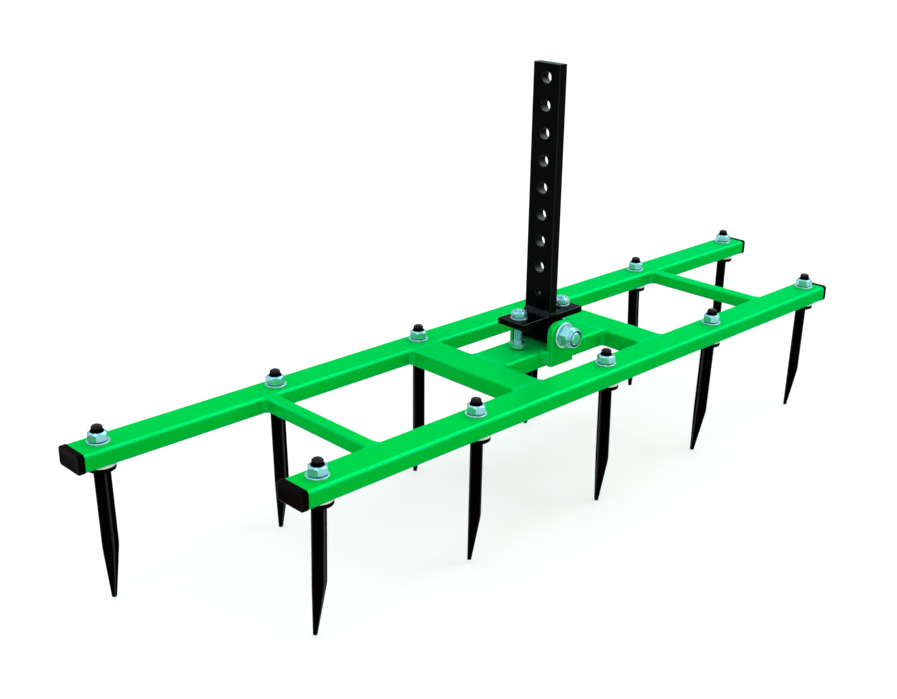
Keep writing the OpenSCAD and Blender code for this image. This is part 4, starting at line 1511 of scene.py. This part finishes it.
@dataclass
class Hitch:
    """Mast with its pin holes, the plate and the pivot block, welded to each other.

    The bead at the mast's foot is a fillet, foot_leg by foot_rise, on the wide faces. On the
    narrow ones it is a cap over the seam, from seam_drop below it to seam_rise above it.
    """

    pin_radius: float = 7 * MM
    hang_radius: float = 4 * MM
    pin_top: float = 16 * MM
    pin_pitch: float = 32 * MM
    pin_count: int = 8
    # Edge mark on the lower walls of the pin holes: wear where a pin rests, and a painted highlight.
    pin_wear_and_highlight: float = 0.9
    mast_bevel: float = 0.55 * MM
    rim_bevel: float = 0.5 * MM
    plate_bevel: float = 0.8 * MM
    stop_hole: float = 5.08 * MM
    stop_reach: float = 14 * MM
    stop_rim_bevel: float = 0.4 * MM
    block_bevel: float = 0.8 * MM
    block_corner: float = 0.8 * MM
    block_bore: float = 8.08 * MM
    foot_corner: float = 1.2 * MM
    foot_step: float = 0.4 * MM
    foot_root: float = 1.4 * MM
    foot_root_drop: float = 0.8 * MM
    foot_leg: float = 6 * MM
    foot_rise: float = 6 * MM
    foot_swell: float = 0.7 * MM
    foot_sink: float = 0.25 * MM
    foot_ripple: Ripple = Ripple(spacing=3.6 * MM, height=0.75 * MM, wander=0.25 * MM)
    seam_rise: float = 3.6 * MM
    seam_drop: float = 2.6 * MM
    seam_swell: float = 1.5 * MM
    block_leg: float = 4 * MM
    block_swell: float = 0.3 * MM
    block_root: float = 1 * MM
    block_toe: float = 0.15 * MM
    block_stations: int = 90
    block_ripple: Ripple = Ripple(spacing=3 * MM, height=0.4 * MM, wander=0.2 * MM)

    def build(self) -> None:
        """Makes the mast, the plate, the block and their weld beads."""
        make_piece("mast_flat_bar", self.mast(), BLACK_ENAMEL, ["mast"])
        make_piece("hitch_cross_plate", self.plate(), BLACK_ENAMEL, ["hitch_plate"])
        make_piece("mast_foot_bead", self.foot_bead(), BLACK_ENAMEL, ["mast_weld"], WELD_CREASE)
        make_piece("pivot_bearing_block", self.block(), BLACK_ENAMEL, ["pivot_block"])
        make_piece("block_weld_beads", self.block_beads(), BLACK_ENAMEL, ["block_welds"], WELD_CREASE)

    def mast(self) -> Surface:
        """Upright flat bar with a row of pin holes and one small hole below them."""
        low, high = node_box("mast")
        top = high[2]
        centres = [top - self.pin_top - i * self.pin_pitch for i in range(self.pin_count + 1)][::-1]
        radii = [self.hang_radius] + [self.pin_radius] * self.pin_count
        holes = holes_along(centres, radii, low[2], top, self.pin_pitch / 2)
        slab = Slab((low[2], top), high[1] - low[1], (low[0], high[0]),
                    holes, self.mast_bevel, self.rim_bevel, self.pin_wear_and_highlight)
        upright = Matrix(((0, 0, 1, 0), (0, 1, 0, 0), (1, 0, 0, 0), (0, 0, 0, 1)))
        return slab.surface().at(upright)

    def plate(self) -> Surface:
        """Flat plate with a tapped hole for each stop bolt."""
        low, high = node_box("hitch_plate")
        centres = [node_middle(f"stop_nut_{side}")[0] for side in ("left", "right")]
        holes = holes_along(centres, [self.stop_hole] * 2, low[0], high[0], self.stop_reach)
        slab = Slab((low[0], high[0]), high[1] - low[1], (low[2], high[2]),
                    holes, self.plate_bevel, self.stop_rim_bevel)
        return slab.surface()

    def foot_bead(self) -> Surface:
        """Hand-run bead round the foot of the mast.

        On the wide faces it is a fillet on the plate. Round the narrow faces, which are flush
        with the plate, it narrows to a low cap over the seam, so with w the share by which the
        path faces sideways its toe runs leg * w out and seam_drop * (1 - w) down.

        Returns:
            The closed surface, in place.
        """
        low, high = node_box("mast")
        size = high - low
        path = even_walk(rounded_rectangle(size[0], size[1], self.foot_corner, 6, 12), self.foot_step)
        facing = unit(outward(path))
        wide = np.abs(facing[:, 0])
        narrow = 1 - wide
        along = np.linspace(0, math.tau, len(path), endpoint=False)
        uneven = 1 + waves(along, LEG_WAVES)
        rise = (self.seam_rise + (self.foot_rise - self.seam_rise) * wide) * uneven
        sink = self.foot_sink
        reach = facing * np.stack([self.foot_leg * wide * uneven, -sink * narrow], 1)
        upper = lift(path - facing * sink, rise)
        lower = lift(path + reach, -self.seam_drop * narrow - sink * wide)
        root = lift(path - facing * self.foot_root, -self.foot_root_drop * wide)
        swell = (self.seam_swell * narrow + self.foot_swell * wide) * uneven
        bead = Bead(upper, lower, root, swell, self.foot_ripple, closed=True, steps=12)
        x, y, _ = (low + high) / 2
        return bead.surface().at(moved(x, y, low[2]))

    def block(self) -> Surface:
        """Block that is round below the pivot bore and square where it meets the plate."""
        low, high = node_box("pivot_block")
        axis_z = pivot_centre()[2]
        round_end = (high[0] - low[0]) / 2 - 0.01 * MM
        corners = [(high[0], low[2]), (high[0], high[2]), (low[0], high[2]), (low[0], low[2])]
        radii = [round_end, self.block_corner, self.block_corner, round_end]
        outline = rounded_polygon(corners, radii, 12, 6) - (0, axis_z)
        bore = unit(outline) * self.block_bore
        return bevelled_ring(bore, outline, low[1], high[1], self.block_bevel, Axis.Y).at(moved(z=axis_z))

    def block_beads(self) -> Surface:
        """Two straight beads between the sides of the block and the underside of the plate."""
        low, high = node_box("block_welds")
        side = node_box("pivot_block")[1][0]
        y = np.linspace(low[1] + 1 * MM, high[1] - 1 * MM, self.block_stations)
        leg = self.block_leg * run_out(len(y), 8)
        zero = np.zeros_like(y)
        upper = np.stack([leg, y, zero + self.block_toe], 1)
        lower = np.stack([zero - self.block_toe, y, -leg], 1)
        root = np.stack([zero - self.block_root, y, zero + self.block_root], 1)
        one = Bead(upper, lower, root, zero + self.block_swell, self.block_ripple, closed=False).surface()
        surface = Surface()
        for sign in (-1, 1):
            corner = Matrix.Translation((sign * side, 0, high[2]))
            surface.add(one, corner @ Matrix.Diagonal((sign, 1, 1, 1)))
        return surface


@dataclass
class StopBolts:
    """Two bolts through the plate that limit the roll, each with a washer and a lock nut."""

    across: float = 17 * MM
    thread: Thread = Thread(diameter=10 * MM, pitch=1.5 * MM)
    head: float = 6.5 * MM
    plain: float = 2 * MM
    chamfer: float = 1.1 * MM
    turn: float = 15
    nut_bore: float = 5.08 * MM
    countersink: float = 0.6 * MM
    washer_hole: float = 5.5 * MM
    washer_edge: float = 0.4 * MM

    def build(self) -> None:
        """Makes the bolt, the washer and the nut of both sides."""
        for side in (side.name.lower() for side in Side):
            x, y, _ = node_middle(f"stop_nut_{side}")
            low, high = node_box(f"stop_bolt_{side}")
            seat = low[2] + self.head
            bolt = hex_bolt(self.across, self.head, self.thread, high[2] - seat, self.plain, self.chamfer)
            make_piece(f"stop_hex_bolt_{side}", bolt.at(moved(x, y, seat, self.turn)),
                       ZINC_PLATE, [f"stop_bolt_{side}"], HEX_CREASE)
            low, high = node_box(f"stop_washer_{side}")
            ring = washer((high[0] - low[0]) / 2, self.washer_hole, high[2] - low[2], self.washer_edge)
            make_piece(f"stop_washer_ring_{side}", ring.at(moved(x, y, low[2])),
                       ZINC_PLATE, [f"stop_washer_{side}"])
            low, high = node_box(f"stop_nut_{side}")
            nut = hex_nut(self.across, high[2] - low[2], self.nut_bore, self.countersink)
            make_piece(f"stop_hex_nut_{side}", nut.at(moved(x, y, low[2], self.turn)),
                       ZINC_PLATE, [f"stop_nut_{side}"], HEX_CREASE)


@dataclass(frozen=True)
class Lamp:
    """Soft lamp far away, given by where it stands and how wide it looks."""

    name: str
    towards: tuple[float, float, float]
    power: float
    width: float
    colour: str


@dataclass
class Studio:
    """White floor, surround, seven soft lamps and the camera.

    Three lamps light the right-hand sides and edges and four the rest. floor_seen is how the
    floor shows to the eye, floor_bounce how much light it gives back, and floor_white the share
    of plain white in what shows. The surround goes from horizon to zenith over sky_range.
    """

    floor_rings: tuple[float, ...] = (0.0, 1.0, 3.0, 10.0, 40.0)
    fibre_cells: float = 900.0
    fibre_depth: float = 0.05 * MM
    fibre_strength: float = 0.2
    sky_range: tuple[float, float] = (0.05, 0.9)
    floor_seen: str = "#FFF3EC"
    floor_bounce: str = "#868686"
    floor_white: float = 0.5
    sky_strength: float = 1.25
    horizon: str = "#AAB4B8"
    zenith: str = "#E4F4FC"
    lamps: tuple[Lamp, ...] = (
        Lamp("edge_strip_high", (0.65, 0.28, 0.70), 0.5, 40, "#E8FAFF"),
        Lamp("edge_strip_middle", (0.65, -0.36, 0.67), 0.75, 40, "#F4FDFF"),
        Lamp("edge_strip_low", (0.65, -0.74, 0.16), 0.3, 36, "#FFFFFF"),
        Lamp("top_softbox", (-0.25, 0.45, 0.85), 0.2, 60, "#E2F7FF"),
        Lamp("front_softbox", (-0.55, -0.75, 0.40), 0.5, 40, "#FFFAF2"),
        Lamp("left_softbox", (-0.85, 0.45, 0.30), 0.4, 60, "#30D8FF"),
        Lamp("glint_lamp", (-0.30, -0.10, 0.95), 0.2, 6, "#E0F0FF"),
    )
    focal: float = 1261.97
    image_width: float = 897.0
    sensor_mm: float = 36.0
    camera_at: tuple[float, float, float] = (-1.094126, -0.957156, 0.717866)
    heading: float = 45.56544
    downward: float = 20.86298
    roll: float = 0.75290

    def build(self) -> None:
        """Makes the floor, the surround, the lamps and the camera."""
        self.floor()
        self.surround()
        for lamp in self.lamps:
            self.lamp(lamp)
        self.camera()
        bpy.context.scene.view_settings.view_transform = "Standard"

    def floor(self) -> None:
        """Lays a white floor that stays white to the eye and in gloss, and keeps the shadow.

        It bounces less light than it shows, so that the undersides of the frame stay darker.
        """
        rings = [lift(circle(full_turn(96), radius), 0.0) for radius in self.floor_rings]
        floor = add_object("studio_floor", loft(rings).mesh("studio_floor", 30))
        material = bpy.data.materials.new("matt_floor_paper")
        tree = empty_tree(material)
        seen = self.seen(tree)
        place = add_node(tree, "ShaderNodeTexCoord").outputs["Object"]
        fibre = add_node(tree, "ShaderNodeTexNoise", {
            "Vector": place, "Scale": self.fibre_cells, "Detail": 3.0})
        level = add_node(tree, "ShaderNodeMix", {
            MIX_FACTOR: seen, MIX_FIRST: linear(self.floor_bounce),
            MIX_SECOND: linear(self.floor_seen)}, data_type="RGBA")
        relief = add_node(tree, "ShaderNodeBump", {
            "Height": fibre.outputs["Fac"], "Strength": self.fibre_strength, "Distance": self.fibre_depth})
        paper = add_node(tree, "ShaderNodeBsdfDiffuse", {
            "Color": level.outputs[MIX_RESULT], "Normal": relief.outputs[0]})
        white = add_node(tree, "ShaderNodeEmission", {"Color": linear("#FFFFFF"), "Strength": 1.0})
        share = add_node(tree, "ShaderNodeMath", {0: seen, 1: self.floor_white}, operation="MULTIPLY")
        both = add_node(tree, "ShaderNodeMixShader", {
            0: share.outputs[0], 1: paper.outputs[0], 2: white.outputs[0]})
        add_node(tree, "ShaderNodeOutputMaterial", {"Surface": both.outputs[0]})
        floor.data.materials.append(material)

    def seen(self, tree: bpy.types.NodeTree) -> bpy.types.NodeSocket:
        """One for rays that show the floor to the eye, directly, in gloss or through glass."""
        path = add_node(tree, "ShaderNodeLightPath")
        direct = add_node(tree, "ShaderNodeMath", {
            0: path.outputs["Is Camera Ray"], 1: path.outputs["Is Glossy Ray"]}, operation="MAXIMUM")
        every = add_node(tree, "ShaderNodeMath", {
            0: direct.outputs[0], 1: path.outputs["Is Transmission Ray"]}, operation="MAXIMUM")
        return every.outputs[0]

    def surround(self) -> None:
        """Lights the room evenly from all round, brighter overhead than at the horizon."""
        world = bpy.data.worlds.new("studio_surround")
        bpy.context.scene.world = world
        tree = empty_tree(world)
        direction = add_node(tree, "ShaderNodeNewGeometry").outputs["Position"]
        height = add_node(tree, "ShaderNodeSeparateXYZ", {"Vector": direction}).outputs["Z"]
        low, high = self.sky_range
        share = add_node(tree, "ShaderNodeMapRange", {"Value": height, "From Min": low, "From Max": high})
        sky = add_node(tree, "ShaderNodeMix", {
            MIX_FACTOR: share.outputs[0], MIX_FIRST: linear(self.horizon),
            MIX_SECOND: linear(self.zenith)}, data_type="RGBA")
        light = add_node(tree, "ShaderNodeBackground", {
            "Color": sky.outputs[MIX_RESULT], "Strength": self.sky_strength})
        add_node(tree, "ShaderNodeOutputWorld", {"Surface": light.outputs[0]})

    def lamp(self, lamp: Lamp) -> None:
        """Hangs one lamp: a far light whose disc looks width degrees wide."""
        light = bpy.data.lights.new(lamp.name, "SUN")
        light.energy = lamp.power
        light.angle = math.radians(lamp.width)
        light.color = linear(lamp.colour)[:3]
        back = unit(np.array(lamp.towards))
        side = unit(np.cross((0, 0, 1), back))
        facing = Matrix(np.stack([side, np.cross(back, side), back], 1).tolist())
        add_object(lamp.name, light).matrix_world = facing.to_4x4()

    def camera(self) -> None:
        """Sets up the camera from its place, heading, tilt and roll.

        The lens is focal / image width * sensor. With heading h and downward tilt d, the camera
        looks along (cos d cos h, cos d sin h, -sin d).
        """
        data = bpy.data.cameras.new("studio_camera")
        data.sensor_width = self.sensor_mm
        data.lens = self.focal / self.image_width * self.sensor_mm
        camera = add_object("studio_camera", data)
        h, d, r = (math.radians(a) for a in (self.heading, self.downward, self.roll))
        ahead = np.array([math.cos(d) * math.cos(h), math.cos(d) * math.sin(h), -math.sin(d)])
        level = np.array([math.sin(h), -math.cos(h), 0.0])
        over = np.cross(level, ahead)
        right = level * math.cos(r) + over * math.sin(r)
        up = np.cross(right, ahead)
        pose = Matrix(np.stack([right, up, -ahead], 1).tolist()).to_4x4()
        camera.matrix_world = Matrix.Translation(self.camera_at) @ pose
        bpy.context.scene.camera = camera


def main() -> None:
    """Builds the studio and every sub-assembly."""
    logging.basicConfig(level=logging.INFO, format="%(name)s: %(message)s")
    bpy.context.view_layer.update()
    Studio().build()
    for assembly in (FrameTubes(), EndCaps(), Tines(), TineFasteners(), Pivot(), Hitch(), StopBolts()):
        assembly.build()


if __name__ == "__main__":
    main()
